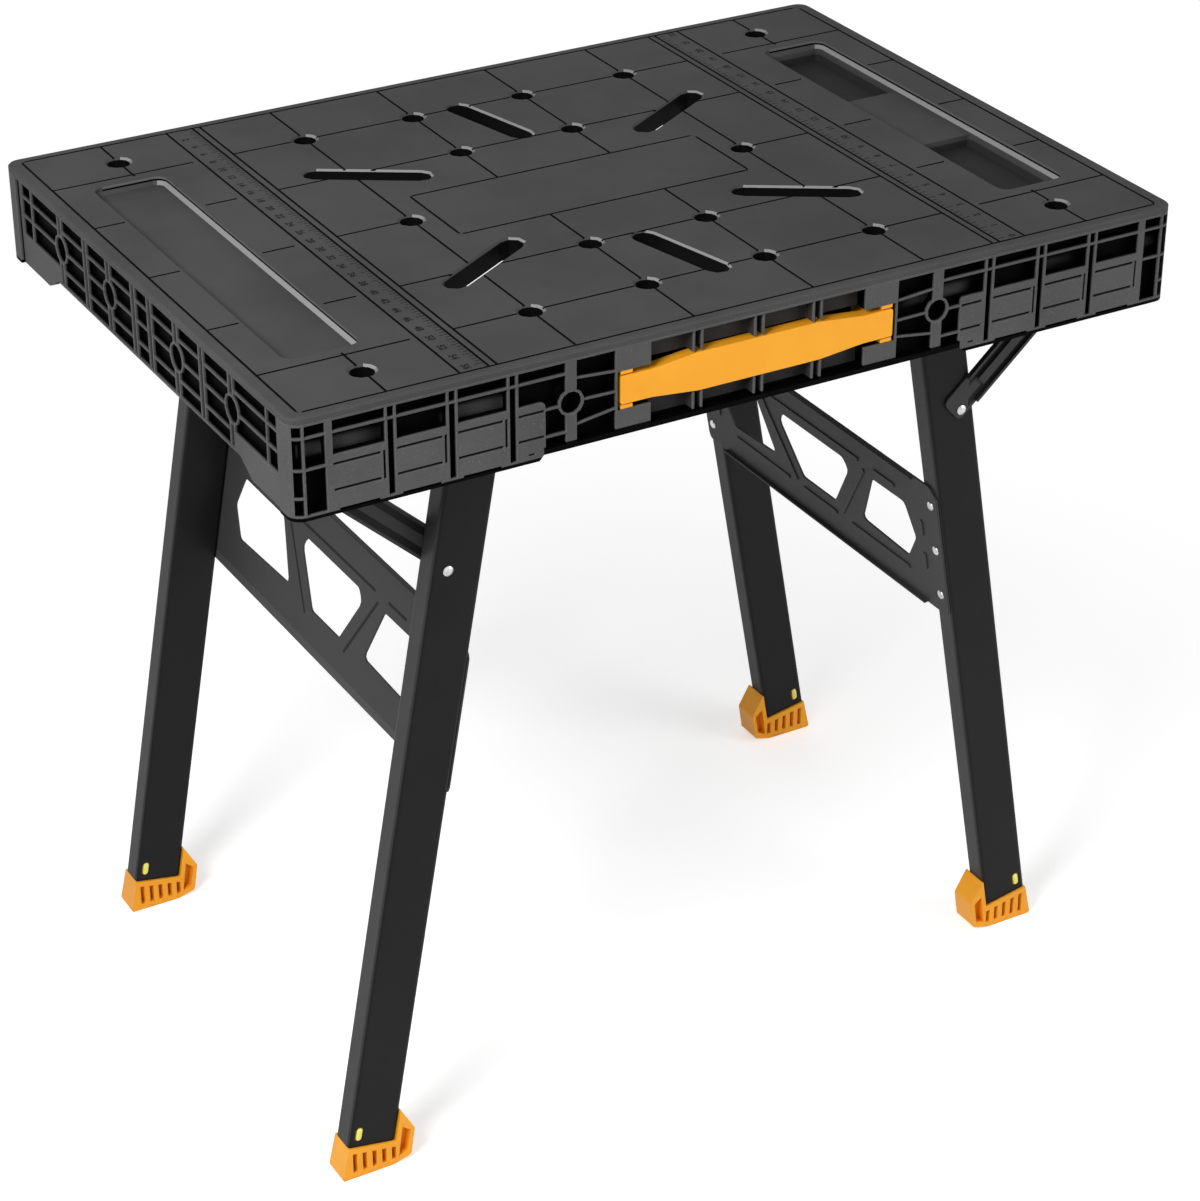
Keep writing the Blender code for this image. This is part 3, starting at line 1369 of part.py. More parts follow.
def make_gusset(frame, window_reach):
    """Stamped panel between the two legs of a frame, on their inner narrow faces."""
    half_w = tube_width / 2
    side_y = frame.outer - 0.0015
    top = gusset_top
    low = gusset_bottom

    def to_local(points):
        return [(y, hinge_down - s) for y, s in points]

    right_half = [
        (side_y, low, 0.006),
        (side_y, top + 0.010, 0.006),
        (side_y - 0.010, top, 0.006),
    ]
    left_half = [(-y, s, r) for y, s, r in reversed(right_half)]
    outline = rounded(right_half + left_half)
    mid = (top + low) / 2
    window = [
        (-0.028, low - 0.040, 0.006),
        (0.028, low - 0.040, 0.006),
        (0.061, mid - 0.021, 0.008),
        (0.052, top + 0.038, 0.006),
        (-0.052, top + 0.038, 0.006),
        (-0.061, mid - 0.021, 0.008),
    ]
    window = rounded([(y * stretch_y, s, radius) for y, s, radius in window])
    loops = [to_local(outline), to_local(window)]
    for sy in (-1, 1):
        reach = window_reach
        side = [
            (sy * 0.076 * stretch_y, low - 0.0440, 0.004),
            (sy * (reach - 0.017), low - 0.0400, 0.006),
            (sy * reach, low - 0.0680, 0.006),
            (sy * (reach - 0.014), top + 0.0380, 0.006),
            (sy * 0.102 * stretch_y, top + 0.0385, 0.006),
        ]
        loops.append(to_local(rounded(side)))
    x_plate = -half_w - clearance - gusset_thickness / 2 - hinge_out
    plate = prism(loops, gusset_thickness, "YZ", frame.sx * x_plate)
    gusset = add_object(f"{frame.side}_gusset", plate, bench, materials["steel"], frame.leg_axis)

    def bead(y0, s0, y1, s1, half=0.0022):
        loop = stadium((y0, hinge_down - s0), (y1, hinge_down - s1), half, 3)
        depth = gusset_bead + gusset_thickness / 2
        level = x_plate - depth / 2
        return prism([loop], depth, "YZ", frame.sx * level)

    beads = []
    upper = top + 0.0270
    lower = low - 0.0270
    beads.append(bead(-0.080 * stretch_y, upper, 0.080 * stretch_y, upper))
    for sy in (-1, 1):
        across = sy * stretch_y
        beads.append(bead(across * 0.0405, lower - 0.006, across * 0.0880, upper + 0.009))
        beads.append(bead(across * 0.1080, upper, across * 0.1400, upper))
        beads.append(bead(across * 0.0560, lower, sy * (window_reach - 0.018), lower))
        leg_y = frame.inner - 0.007
        beads.append(bead(sy * leg_y, top + 0.047, sy * leg_y, top + 0.060))
        beads.append(bead(sy * leg_y, top + 0.083, sy * leg_y, top + 0.097))
    beads.append(bead(-0.028, lower, 0.028, lower))
    join(gusset, "beads", beads)
    lips = []
    lip_half = frame.inner - 0.012
    for s0, s1 in ((top, top + gusset_thickness), (low - gusset_thickness, low)):
        z0, z1 = sorted((hinge_down - s0, hinge_down - s1))
        xs = sorted((frame.sx * x_plate, frame.sx * (x_plate - gusset_thickness / 2 - gusset_lip)))
        lips.append(box((xs[0], -lip_half, z0), (xs[1], lip_half, z1)))
    join(gusset, "lips", lips)
    return gusset


def make_frame(frame, window_reach):
    for end, sy in (("front", -1), ("rear", 1)):
        name = f"{frame.side}_{end}"
        make_leg(frame, end, sy)
        plates = (frame.plate_low, frame.plate_high)
        make_brace(f"{name}_brace", frame.sx, sy, *plates, frame.brace_outside, frame.brace_axis)
        make_bracket(f"{name}_brace_bracket", frame.sx, sy, *plates)
        make_track(f"{name}_pin_track", frame.sx, sy, frame.track_near, frame.fold_drop)
    make_gusset(frame, window_reach)


clear_scene()
bench = new_collection("portable_workbench")
tools = new_collection("workbench_tools")
materials = {
    "deck": material("deck_plastic", (0.075, 0.075, 0.078), 0.62),
    "wall": material("wall_plastic", (0.030, 0.030, 0.031), 0.58),
    "grip": material("yellow_plastic", (0.98, 0.44, 0.018), 0.45),
    "tube": material("black_tube", (0.017, 0.017, 0.018), 0.42, 0.3),
    "steel": material("black_stamped_steel", (0.024, 0.024, 0.025), 0.45, 0.4),
    "track": material("track_plastic", (0.030, 0.030, 0.031), 0.50),
    "plug": material("plug_plastic", (0.020, 0.020, 0.020), 0.60),
    "bright": material("bright_zinc", (0.62, 0.62, 0.63), 0.28, 1.0),
}

make_deck()
make_long_wall("front_wall", -1, True)
make_long_wall("rear_wall", 1, False)
make_end_wall("left_end_wall", -1)
make_end_wall("right_end_wall", 1)
make_handle()
wide = Frame("left", -1, wide_face, False, fold_drop_wide)
narrow = Frame("right", 1, narrow_face, True, fold_drop_narrow)
make_frame(wide, wide.inner - 0.0255)
make_frame(narrow, narrow.inner - 0.0195)
bpy.context.view_layer.update()
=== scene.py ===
import bpy
import bmesh
import math
from mathutils import Matrix, Vector


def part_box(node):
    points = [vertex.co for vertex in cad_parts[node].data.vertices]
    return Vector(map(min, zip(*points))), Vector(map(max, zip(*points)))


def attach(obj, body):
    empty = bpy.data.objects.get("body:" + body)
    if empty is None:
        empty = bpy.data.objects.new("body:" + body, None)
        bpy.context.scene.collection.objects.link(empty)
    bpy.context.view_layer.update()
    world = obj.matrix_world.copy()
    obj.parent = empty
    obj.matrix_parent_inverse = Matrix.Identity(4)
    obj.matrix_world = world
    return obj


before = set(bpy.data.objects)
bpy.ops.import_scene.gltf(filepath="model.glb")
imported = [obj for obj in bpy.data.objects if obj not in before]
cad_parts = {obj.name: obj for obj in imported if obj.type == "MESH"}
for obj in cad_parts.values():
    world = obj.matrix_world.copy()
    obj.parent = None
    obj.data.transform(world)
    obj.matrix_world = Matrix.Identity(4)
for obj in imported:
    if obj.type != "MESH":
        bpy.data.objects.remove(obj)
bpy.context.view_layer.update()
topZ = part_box("top_deck")[1][2]
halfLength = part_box("top_deck")[1][0]
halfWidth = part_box("top_deck")[1][1]
print("frame loaded, top at", round(topZ, 4))


# small helpers for node trees

def newMaterial(name):
    mat = bpy.data.materials.new(name)
    mat.use_nodes = True
    return mat, mat.node_tree, mat.node_tree.nodes["Principled BSDF"]


def mathNode(tree, operation, first, second=None, clamp=False):
    node = tree.nodes.new("ShaderNodeMath")
    node.operation = operation
    node.use_clamp = clamp
    for socket, value in zip(node.inputs, (first, second)):
        if value is None:
            continue
        if isinstance(value, (int, float)):
            socket.default_value = value
        else:
            tree.links.new(value, socket)
    return node.outputs[0]


def plus(tree, first, second):
    return mathNode(tree, "ADD", first, second)


def minus(tree, first, second):
    return mathNode(tree, "SUBTRACT", first, second)


def isAbove(tree, value, limit):
    return mathNode(tree, "GREATER_THAN", value, limit)


def isBelow(tree, value, limit):
    return mathNode(tree, "LESS_THAN", value, limit)


def absolute(tree, value):
    return mathNode(tree, "ABSOLUTE", value)


def opposite(tree, value):
    return mathNode(tree, "SUBTRACT", 1.0, value, clamp=True)


def combined(tree, operation, values):
    result = values[0]
    for value in values[1:]:
        result = mathNode(tree, operation, result, value)
    return result


def times(tree, *values):
    return combined(tree, "MULTIPLY", values)


def largest(tree, *values):
    return combined(tree, "MAXIMUM", values)


def smallest(tree, *values):
    return combined(tree, "MINIMUM", values)


def stepNode(tree, value, low, high):  # 0 below low, 1 above high
    node = tree.nodes.new("ShaderNodeMapRange")
    node.interpolation_type = "SMOOTHSTEP"
    node.inputs["From Min"].default_value = low
    node.inputs["From Max"].default_value = high
    tree.links.new(value, node.inputs["Value"])
    return node.outputs["Result"]


def band(tree, value, low, high, soft=0.0002):  # 1 between low and high
    past = stepNode(tree, value, low - soft, low + soft)
    short = opposite(tree, stepNode(tree, value, high - soft, high + soft))
    return times(tree, past, short)


def mixColours(tree, factor, first, second):
    node = tree.nodes.new("ShaderNodeMix")
    node.data_type = "RGBA"
    tree.links.new(factor, node.inputs["Factor"])
    for socket, value in ((node.inputs[6], first), (node.inputs[7], second)):
        if isinstance(value, tuple):
            socket.default_value = (*value, 1.0)
        else:
            tree.links.new(value, socket)
    return node.outputs[2]


def noiseNode(tree, coords, scale, detail=3.0, rough=0.55):
    node = tree.nodes.new("ShaderNodeTexNoise")
    node.inputs["Scale"].default_value = scale
    node.inputs["Detail"].default_value = detail
    node.inputs["Roughness"].default_value = rough
    tree.links.new(coords, node.inputs["Vector"])
    return node.outputs["Fac"]


def texCoord(tree, kind):
    return tree.nodes.new("ShaderNodeTexCoord").outputs[kind]


def axesOf(tree, vector):
    split = tree.nodes.new("ShaderNodeSeparateXYZ")
    tree.links.new(vector, split.inputs["Vector"])
    return split.outputs


edgeLook = {"samples": 6, "mask": (0.02, 0.30)}


def softEdges(tree, radius):  # rounded edge normal and a mask that is 1 along the edges
    bevel = tree.nodes.new("ShaderNodeBevel")
    bevel.samples = edgeLook["samples"]
    bevel.inputs["Radius"].default_value = radius
    geometry = tree.nodes.new("ShaderNodeNewGeometry")
    dot = tree.nodes.new("ShaderNodeVectorMath")
    dot.operation = "DOT_PRODUCT"
    tree.links.new(bevel.outputs["Normal"], dot.inputs[0])
    tree.links.new(geometry.outputs["Normal"], dot.inputs[1])
    mask = stepNode(tree, opposite(tree, dot.outputs["Value"]), *edgeLook["mask"])
    return bevel.outputs["Normal"], mask


def setBump(tree, shader, height, strength, distance, normal=None):
    bump = tree.nodes.new("ShaderNodeBump")
    bump.inputs["Strength"].default_value = strength
    bump.inputs["Distance"].default_value = distance
    tree.links.new(height, bump.inputs["Height"])
    if normal:
        tree.links.new(normal, bump.inputs["Normal"])
    tree.links.new(bump.outputs["Normal"], shader.inputs["Normal"])


def setGloss(tree, shader, value, roughness, spread):  # roughness varies with the value
    gloss = tree.nodes.new("ShaderNodeMapRange")
    gloss.inputs["To Min"].default_value = roughness - spread[0]
    gloss.inputs["To Max"].default_value = roughness + spread[1]
    tree.links.new(value, gloss.inputs["Value"])
    tree.links.new(gloss.outputs["Result"], shader.inputs["Roughness"])


# moulded plastic: deck, walls, handle, feet, pin tracks and leg plugs

# edge: the lighter colour of the painted highlight along the edges, also used for the specks
plasticLook = {
    "deck": {
        "colour": (0.076, 0.076, 0.077), "shade": (0.060, 0.060, 0.061),
        "edge": (0.300, 0.300, 0.300), "dark": (0.0008, 0.0008, 0.0008),
        "roughness": 0.60, "specular": 0.04, "edgeRadius": 0.0010,
        "grain": 1100.0, "grainDepth": 0.00007, "speck": 0.10,
    },
    "wall": {
        "colour": (0.098, 0.098, 0.099), "shade": (0.078, 0.078, 0.079),
        "edge": (0.290, 0.290, 0.290), "dark": (0.0006, 0.0006, 0.0006),
        "roughness": 0.62, "specular": 0.03, "edgeRadius": 0.0005,
        "grain": 700.0, "grainDepth": 0.00016, "speck": 0.34,
    },
    "grip": {
        "colour": (0.960, 0.405, 0.014), "shade": (0.890, 0.350, 0.010),
        "edge": (1.000, 0.500, 0.030), "dark": (0.300, 0.100, 0.004),
        "roughness": 0.42, "specular": 0.35, "edgeRadius": 0.0008,
        "grain": 1100.0, "grainDepth": 0.00004, "speck": 0.20,
    },
    "track": {
        "colour": (0.020, 0.020, 0.021), "shade": (0.014, 0.014, 0.015),
        "edge": (0.040, 0.040, 0.040), "dark": (0.0035, 0.0035, 0.0035),
        "roughness": 0.50, "specular": 0.30, "edgeRadius": 0.0005,
        "grain": 1100.0, "grainDepth": 0.00005, "speck": 0.20,
    },
}

plasticGrain = {
    "patchScale": 7.0, "patchDetail": 4.0, "patchStep": (0.35, 0.70),
    "fineDetail": 2.0, "speckStep": (0.60, 0.80), "edgeShare": 0.90, "bump": 0.6,
    "rubScale": 38.0, "rubDetail": 5.0, "rubRough": 0.65, "glossSpread": (0.07, 0.09),
}


def plasticBase(name, look, edgeZone=None):
    grain = plasticGrain
    mat, tree, shader = newMaterial(name)
    coords = texCoord(tree, "Object")
    broad = noiseNode(tree, coords, grain["patchScale"], grain["patchDetail"])
    patch = stepNode(tree, broad, *grain["patchStep"])
    colour = mixColours(tree, patch, look["colour"], look["shade"])
    fine = noiseNode(tree, coords, look["grain"], grain["fineDetail"])
    speck = times(tree, stepNode(tree, fine, *grain["speckStep"]), look["speck"])
    colour = mixColours(tree, speck, colour, look["edge"])
    # painted highlight: the edges are painted in the lighter edge colour
    rounded, mask = softEdges(tree, look["edgeRadius"])
    mask = times(tree, mask, grain["edgeShare"])
    if edgeZone:
        mask = times(tree, mask, edgeZone(tree, coords))
    colour = mixColours(tree, mask, colour, look["edge"])
    setBump(tree, shader, fine, grain["bump"], look["grainDepth"], rounded)
    rubbed = noiseNode(tree, coords, grain["rubScale"], grain["rubDetail"], grain["rubRough"])
    setGloss(tree, shader, rubbed, look["roughness"], grain["glossSpread"])
    shader.inputs["Specular IOR Level"].default_value = look["specular"]
    return mat, tree, shader, coords, colour


deckMarks = {
    "border": 0.0035, "centre": 0.2200,
    "groove": 0.0010, "grooveSoft": 0.0002, "wallSoft": 0.00005,
    "flat": (0.90, 0.98), "square": 0.995,
    "rim": 0.0016, "rimSoft": 0.0003, "facingDown": -0.5, "holeShade": 0.97,
    "cornerHole": (0.3317, 0.2434), "holeReach": 0.0150,
    "lit": (-0.93, -0.37), "litStep": (0.36, 0.53), "rimEnd": 0.380,
    "slope": (0.55, 0.93), "slopeSoft": 0.02, "rimLight": (0.300, 0.300, 0.300),
    "trayX": (0.2700, 0.4050), "trayEnd": 0.1900, "trayHalf": 0.2020,
    "facingX": 0.3, "facingLight": 0.30, "upright": 0.5,
    "lip": (-0.0010, 0.0020), "foot": (0.0044, 0.0062), "lineSoft": 0.0003,
    "seam": (0.0021, 0.0043), "trayLight": (0.135, 0.135, 0.135),
    "pocket": (0.0105, 0.0125), "pocketShade": 0.55,
}


def deckBorder(tree, coords):  # 1 in the outermost millimetres of the deck
    x, y, z = axesOf(tree, coords)
    ends = isAbove(tree, absolute(tree, x), halfLength - deckMarks["border"])
    sides = isAbove(tree, absolute(tree, y), halfWidth - deckMarks["border"])
    return largest(tree, ends, sides)


def deckPlastic():
    look = plasticLook["deck"]
    marks = deckMarks
    # the painted edge highlight is kept to the deck's outermost millimetres
    mat, tree, shader, coords, colour = plasticBase("deckPlastic", look, deckBorder)
    x, y, z = axesOf(tree, coords)
    nx, ny, up = axesOf(tree, texCoord(tree, "Normal"))
    farX = absolute(tree, x)
    farY = absolute(tree, y)
    drop = minus(tree, topZ, z)
    inside = opposite(tree, deckBorder(tree, coords))
    # the long walls and the ends of the two trays
    inTrayX = band(tree, farX, *marks["trayX"])
    facingX = isAbove(tree, absolute(tree, nx), marks["facingX"])
    trayWall = largest(tree, facingX, isAbove(tree, farY, marks["trayEnd"]))
    inTray = times(tree, inTrayX, isBelow(tree, farY, marks["trayHalf"]), trayWall)
    # painted shade in the grooves: their flat floors, and their walls that face along x or y, are
    # painted dark
    low, high = marks["groove"] - marks["grooveSoft"], marks["groove"] + marks["grooveSoft"]
    grooveFloorShade = times(tree, band(tree, drop, low, high), stepNode(tree, up, *marks["flat"]))
    square = largest(tree, absolute(tree, nx), absolute(tree, ny))
    shallow = band(tree, drop, 0.0, marks["groove"], marks["wallSoft"])
    grooveWallShade = times(tree, isAbove(tree, square, marks["square"]), inside, shallow)
    grooveWallShade = times(tree, grooveWallShade, opposite(tree, inTray))
    colour = mixColours(tree, largest(tree, grooveFloorShade, grooveWallShade), colour, look["dark"])
    # the sides of holes and slots below their rims, and the whole underside, stay in shade
    below = stepNode(tree, drop, marks["rim"], marks["rim"] + marks["rimSoft"])
    holeX, holeY = marks["cornerHole"]
    awayX = absolute(tree, minus(tree, farX, holeX))
    awayY = absolute(tree, minus(tree, farY, holeY))
    hole = isBelow(tree, largest(tree, awayX, awayY), marks["holeReach"])
    under = isBelow(tree, up, marks["facingDown"])
    covered = largest(tree, isBelow(tree, farX, marks["centre"]), under, hole)
    shaded = times(tree, below, covered, marks["holeShade"], largest(tree, inside, under))
    colour = mixColours(tree, shaded, colour, look["dark"])
    # the sloped rims of holes and slots catch the light where they face left
    litX, litY = marks["lit"]
    towards = plus(tree, times(tree, nx, litX), times(tree, ny, litY))
    sloped = band(tree, up, *marks["slope"], marks["slopeSoft"])
    offCorner = isBelow(tree, farX, marks["rimEnd"])
    rimLit = times(tree, sloped, offCorner, inside, stepNode(tree, towards, *marks["litStep"]))
    colour = mixColours(tree, rimLit, colour, marks["rimLight"])
    # the far walls of the trays: a lit lip, a thin shade line and a lit foot
    facing = isAbove(tree, towards, marks["facingLight"])
    upright = isBelow(tree, absolute(tree, up), marks["upright"])
    lip = band(tree, drop, *marks["lip"], marks["lineSoft"])
    foot = band(tree, drop, *marks["foot"], marks["lineSoft"])
    farWall = times(tree, inTray, facing, upright)
    trayLit = times(tree, farWall, largest(tree, lip, foot))
    colour = mixColours(tree, trayLit, colour, marks["trayLight"])
    seam = times(tree, farWall, band(tree, drop, *marks["seam"]))
    colour = mixColours(tree, seam, colour, look["dark"])
    # painted shade in the pockets of the right tray, which lie deeper
    pocket = times(tree, stepNode(tree, drop, *marks["pocket"]), inTrayX, marks["pocketShade"])
    colour = mixColours(tree, pocket, colour, look["dark"])
    tree.links.new(colour, shader.inputs["Base Color"])
    return mat


wallCorner = 0.012
wallMarks = {
    "long": {
        "sunkShade": (0.0012, 0.0032),
        "curtainHalf": 0.1018, "curtainDepth": 0.0126, "curtainShare": 0.42,
        "glow": (0.055, 0.055, 0.056), "glowBand": (0.7380, 0.7470), "glowSoft": 0.0030,
        "glowDepth": 0.0085, "glowScale": 16.0, "glowDetail": 1.0, "glowStep": (0.46, 0.66),
        "edgeShade": 0.0030, "raisedShade": 0.0080, "raisedHalf": 0.2000,
    },
    "end": {"sunkShade": (0.0010, 0.0028)},
}


def wallPlastic(name, kind, faceX):
    look = plasticLook["wall"]
    marks = wallMarks[kind]
    mat, tree, shader, coords, colour = plasticBase(name, look)
    x, y, z = axesOf(tree, coords)
    farX = absolute(tree, x)
    farY = absolute(tree, y)
    # depth below the outer face, measured round the corners too
    pastX = largest(tree, minus(tree, farX, faceX - wallCorner), 0.0)
    pastY = largest(tree, minus(tree, farY, halfWidth - wallCorner), 0.0)
    square = plus(tree, times(tree, pastX, pastX), times(tree, pastY, pastY))
    depth = minus(tree, wallCorner, mathNode(tree, "SQRT", square))
    # painted shade: the cells are painted dark the deeper they lie below the face
    sunkShade = stepNode(tree, depth, *marks["sunkShade"])
    if kind == "long":
        # the painted shade is weaker on the back of the handle recess than in the cells
        near = isBelow(tree, farX, marks["curtainHalf"])
        front = isAbove(tree, farY, halfWidth - marks["curtainDepth"])
        curtain = times(tree, near, front, marks["curtainShare"])
        sunkShade = mathNode(tree, "SUBTRACT", sunkShade, curtain, clamp=True)
        # light that falls through the open cells shows on their backs in patches
        cloud = noiseNode(tree, coords, marks["glowScale"], marks["glowDetail"])
        glow = band(tree, z, *marks["glowBand"], marks["glowSoft"])
        deep = isAbove(tree, depth, marks["glowDepth"])
        glow = times(tree, glow, stepNode(tree, cloud, *marks["glowStep"]), deep)
        colour = mixColours(tree, glow, colour, marks["glow"])
        sunkShade = times(tree, sunkShade, opposite(tree, glow))
        # the lower edge lies in shade, more so in the raised middle
        middle = isBelow(tree, farX, marks["raisedHalf"])
        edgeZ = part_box("front_wall")[0][2] + marks["edgeShade"]
        edgeTop = plus(tree, times(tree, middle, marks["raisedShade"]), edgeZ)
        sunkShade = largest(tree, sunkShade, isBelow(tree, z, edgeTop))
    colour = mixColours(tree, sunkShade, colour, look["dark"])
    tree.links.new(colour, shader.inputs["Base Color"])
    return mat


def plainPlastic(name, key):
    mat, tree, shader, coords, colour = plasticBase(name, plasticLook[key])
    tree.links.new(colour, shader.inputs["Base Color"])
    return mat


footMarks = {
    "scuffScale": 120.0, "scuffDetail": 5.0, "scuffRough": 0.7, "scuffStep": (0.45, 0.65),
    "height": 0.006, "share": 0.35,
}


def footPlastic():  # the grip's plastic, scuffed along the sole
    look = plasticLook["grip"]
    marks = footMarks
    mat, tree, shader, coords, colour = plasticBase("footPlastic", look)
    scuff = noiseNode(tree, coords, marks["scuffScale"], marks["scuffDetail"], marks["scuffRough"])
    low = opposite(tree, stepNode(tree, axesOf(tree, coords)[2], 0.0, marks["height"]))
    worn = times(tree, low, stepNode(tree, scuff, *marks["scuffStep"]), marks["share"])
    colour = mixColours(tree, worn, colour, look["dark"])
    tree.links.new(colour, shader.inputs["Base Color"])
    return mat


# painted steel: tubes, braces, brackets and gussets

paintLook = {
    "tube": {
        "colour": (0.0060, 0.0060, 0.0063), "edge": (0.0025, 0.0025, 0.0025),
        "narrow": (0.032, 0.032, 0.033), "roughness": 0.44, "specular": 0.14,
        "peel": 420.0, "edgeRadius": 0.0012,
    },
    "steel": {
        "colour": (0.042, 0.042, 0.043), "edge": (0.0020, 0.0020, 0.0020),
        "narrow": (0.042, 0.042, 0.043), "roughness": 0.50, "specular": 0.12,
        "peel": 520.0, "edgeRadius": 0.0010,
    },
}

paintGrain = {
    "patchScale": 11.0, "patchDetail": 4.0, "patchStep": (0.40, 0.72), "lighter": 1.35,
    "narrowStep": (0.80, 0.95), "edgeShare": 0.6,
    "peelDetail": 2.0, "peelRough": 0.5, "bump": 0.5, "peelDepth": 0.00008,
    "glossSpread": (0.06, 0.08),
}

# the line of a leg: its top pin and its lean, shared by gusset, rivets and spring tabs
legLine = {"topPin": (0.2353, 0.6980), "lean": math.radians(10.1)}

braceMarks = {
    "pin": (0.395, 0.700), "across": (-0.6721, 0.7404), "striped": 0.272, "soft": 0.0003,
    "beads": ((-0.0070, -0.0042), (0.0020, 0.0110), (0.0172, 0.0200)),
    # the first colour is the darker flat plate, the second the painted highlight on the beads
    "plate": (0.009, 0.009, 0.009), "top": (0.050, 0.050, 0.051),
}


def braceStripes(tree, coords, colour):  # painted highlight on the raised beads; the flat plate between them is painted darker
    marks = braceMarks
    x, y, z = axesOf(tree, coords)
    farX = absolute(tree, x)
    alongX = times(tree, minus(tree, farX, marks["pin"][0]), marks["across"][0])
    alongZ = times(tree, minus(tree, z, marks["pin"][1]), marks["across"][1])
    offset = plus(tree, alongX, alongZ)
    beads = [band(tree, offset, *bead, marks["soft"]) for bead in marks["beads"]]
    raised = largest(tree, *beads)
    striped = isAbove(tree, farX, marks["striped"])
    colour = mixColours(tree, times(tree, raised, striped), colour, marks["top"])
    flat = times(tree, opposite(tree, raised), striped)
    return mixColours(tree, flat, colour, marks["plate"])


# each bead of a gusset runs between two points: sideways, and down the leg from its top pin
gussetMarks = {
    "beads": (
        ((0.0, 0.2200), (0.0800, 0.2200)),
        ((0.0405, 0.2990), (0.0880, 0.2290)),
        ((0.1080, 0.2200), (0.1400, 0.2200)),
    ),
    "half": 0.0016, "soft": 0.0003, "fold": 0.3235,
    # the first colour is the painted shade of the bead lines, the second the painted light past
    # the fold
    "line": (0.0015, 0.0015, 0.0015), "foldPaintedLight": (0.062, 0.062, 0.063),
}


def nearSegment(tree, across, down, start, end):  # distance from a point to a segment
    length = math.hypot(end[0] - start[0], end[1] - start[1])
    unitX, unitY = (end[0] - start[0]) / length, (end[1] - start[1]) / length
    fromStart = minus(tree, across, start[0])
    fromTop = minus(tree, down, start[1])
    along = plus(tree, times(tree, fromStart, unitX), times(tree, fromTop, unitY))
    aside = minus(tree, times(tree, fromStart, unitY), times(tree, fromTop, unitX))
    over = largest(tree, times(tree, along, -1.0), minus(tree, along, length), 0.0)
    square = plus(tree, times(tree, over, over), times(tree, aside, aside))
    return mathNode(tree, "SQRT", square)


def gussetLines(tree, coords, colour):  # painted shade: the beads seen from behind as dark pressed lines, and the sheet past the fold painted lighter as painted light
    marks = gussetMarks
    x, y, z = axesOf(tree, coords)
    nx = axesOf(tree, texCoord(tree, "Normal"))[0]
    outer = isAbove(tree, times(tree, nx, x), 0.0)
    pinX, pinZ = legLine["topPin"]
    lean = legLine["lean"]
    fromX = times(tree, minus(tree, absolute(tree, x), pinX), math.sin(lean))
    fromZ = times(tree, minus(tree, pinZ, z), math.cos(lean))
    down = plus(tree, fromX, fromZ)
    across = absolute(tree, y)
    gaps = [nearSegment(tree, across, down, *bead) for bead in marks["beads"]]
    low, high = marks["half"] - marks["soft"], marks["half"] + marks["soft"]
    line = opposite(tree, stepNode(tree, smallest(tree, *gaps), low, high))
    fold = isAbove(tree, down, marks["fold"])
    colour = mixColours(tree, times(tree, fold, outer), colour, marks["foldPaintedLight"])
    return mixColours(tree, times(tree, line, outer), colour, marks["line"])


def powderCoat(name, key, paint=None):
    look = paintLook[key]
    grain = paintGrain
    mat, tree, shader = newMaterial(name)
    coords = texCoord(tree, "Object")
    broad = noiseNode(tree, coords, grain["patchScale"], grain["patchDetail"])
    lighter = tuple(value * grain["lighter"] for value in look["colour"])
    patch = stepNode(tree, broad, *grain["patchStep"])
    colour = mixColours(tree, patch, look["colour"], lighter)
    # faces that look along x, the narrow ones of the tubes, are painted lighter: a painted
    # highlight
    sideways = absolute(tree, axesOf(tree, texCoord(tree, "Normal"))[0])
    sideways = stepNode(tree, sideways, *grain["narrowStep"])
    colour = mixColours(tree, sideways, colour, look["narrow"])
    if paint:
        colour = paint(tree, coords, colour)
    rounded, mask = softEdges(tree, look["edgeRadius"])
    colour = mixColours(tree, times(tree, mask, grain["edgeShare"]), colour, look["edge"])
    tree.links.new(colour, shader.inputs["Base Color"])
    peel = noiseNode(tree, coords, look["peel"], grain["peelDetail"], grain["peelRough"])
    setBump(tree, shader, peel, grain["bump"], grain["peelDepth"], rounded)
    setGloss(tree, shader, broad, look["roughness"], grain["glossSpread"])
    shader.inputs["Specular IOR Level"].default_value = look["specular"]
    return mat


zincLook = {
    "colour": (0.66, 0.66, 0.67), "dull": (0.46, 0.46, 0.48), "roughness": 0.32,
    "scale": 260.0, "detail": 4.0, "step": (0.40, 0.65), "glossSpread": (0.08, 0.12),
}


def zincPlate(name):
    look = zincLook
    mat, tree, shader = newMaterial(name)
    cloud = noiseNode(tree, texCoord(tree, "Object"), look["scale"], look["detail"])
    patch = stepNode(tree, cloud, *look["step"])
    colour = mixColours(tree, patch, look["colour"], look["dull"])
    tree.links.new(colour, shader.inputs["Base Color"])
    shader.inputs["Metallic"].default_value = 1.0
    setGloss(tree, shader, cloud, look["roughness"], look["glossSpread"])
    return mat


zincMaterial = zincPlate("zincPlate")

# the first ending that fits a node's name gives its material; pins and rivets are zinc
nodeFinish = (
    ("top_deck", deckPlastic()),
    ("_end_wall", wallPlastic("endWallPlastic", "end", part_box("right_end_wall")[1][0])),
    ("_wall", wallPlastic("longWallPlastic", "long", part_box("front_wall")[1][0])),
    ("carry_handle", plainPlastic("gripPlastic", "grip")),
    ("_foot", footPlastic()),
    (("_pin_track", "_leg_plug"), plainPlastic("trackPlastic", "track")),
    ("_leg", powderCoat("tubePowderCoat", "tube")),
    ("_brace", powderCoat("bracePowderCoat", "steel", braceStripes)),
    ("_gusset", powderCoat("gussetPowderCoat", "steel", gussetLines)),
    ("_brace_bracket", powderCoat("steelPowderCoat", "steel")),
)
print("materials ready")


def finishNode(name):
    for ending, material in nodeFinish:
        if name.endswith(ending):
            return material
    return zincMaterial


for nodeName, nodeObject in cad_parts.items():
    nodeObject.data.materials.clear()
    nodeObject.data.materials.append(finishNode(nodeName))
print("nodes finished:", len(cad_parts))


# pieces made here

sharpAngle = math.radians(40)


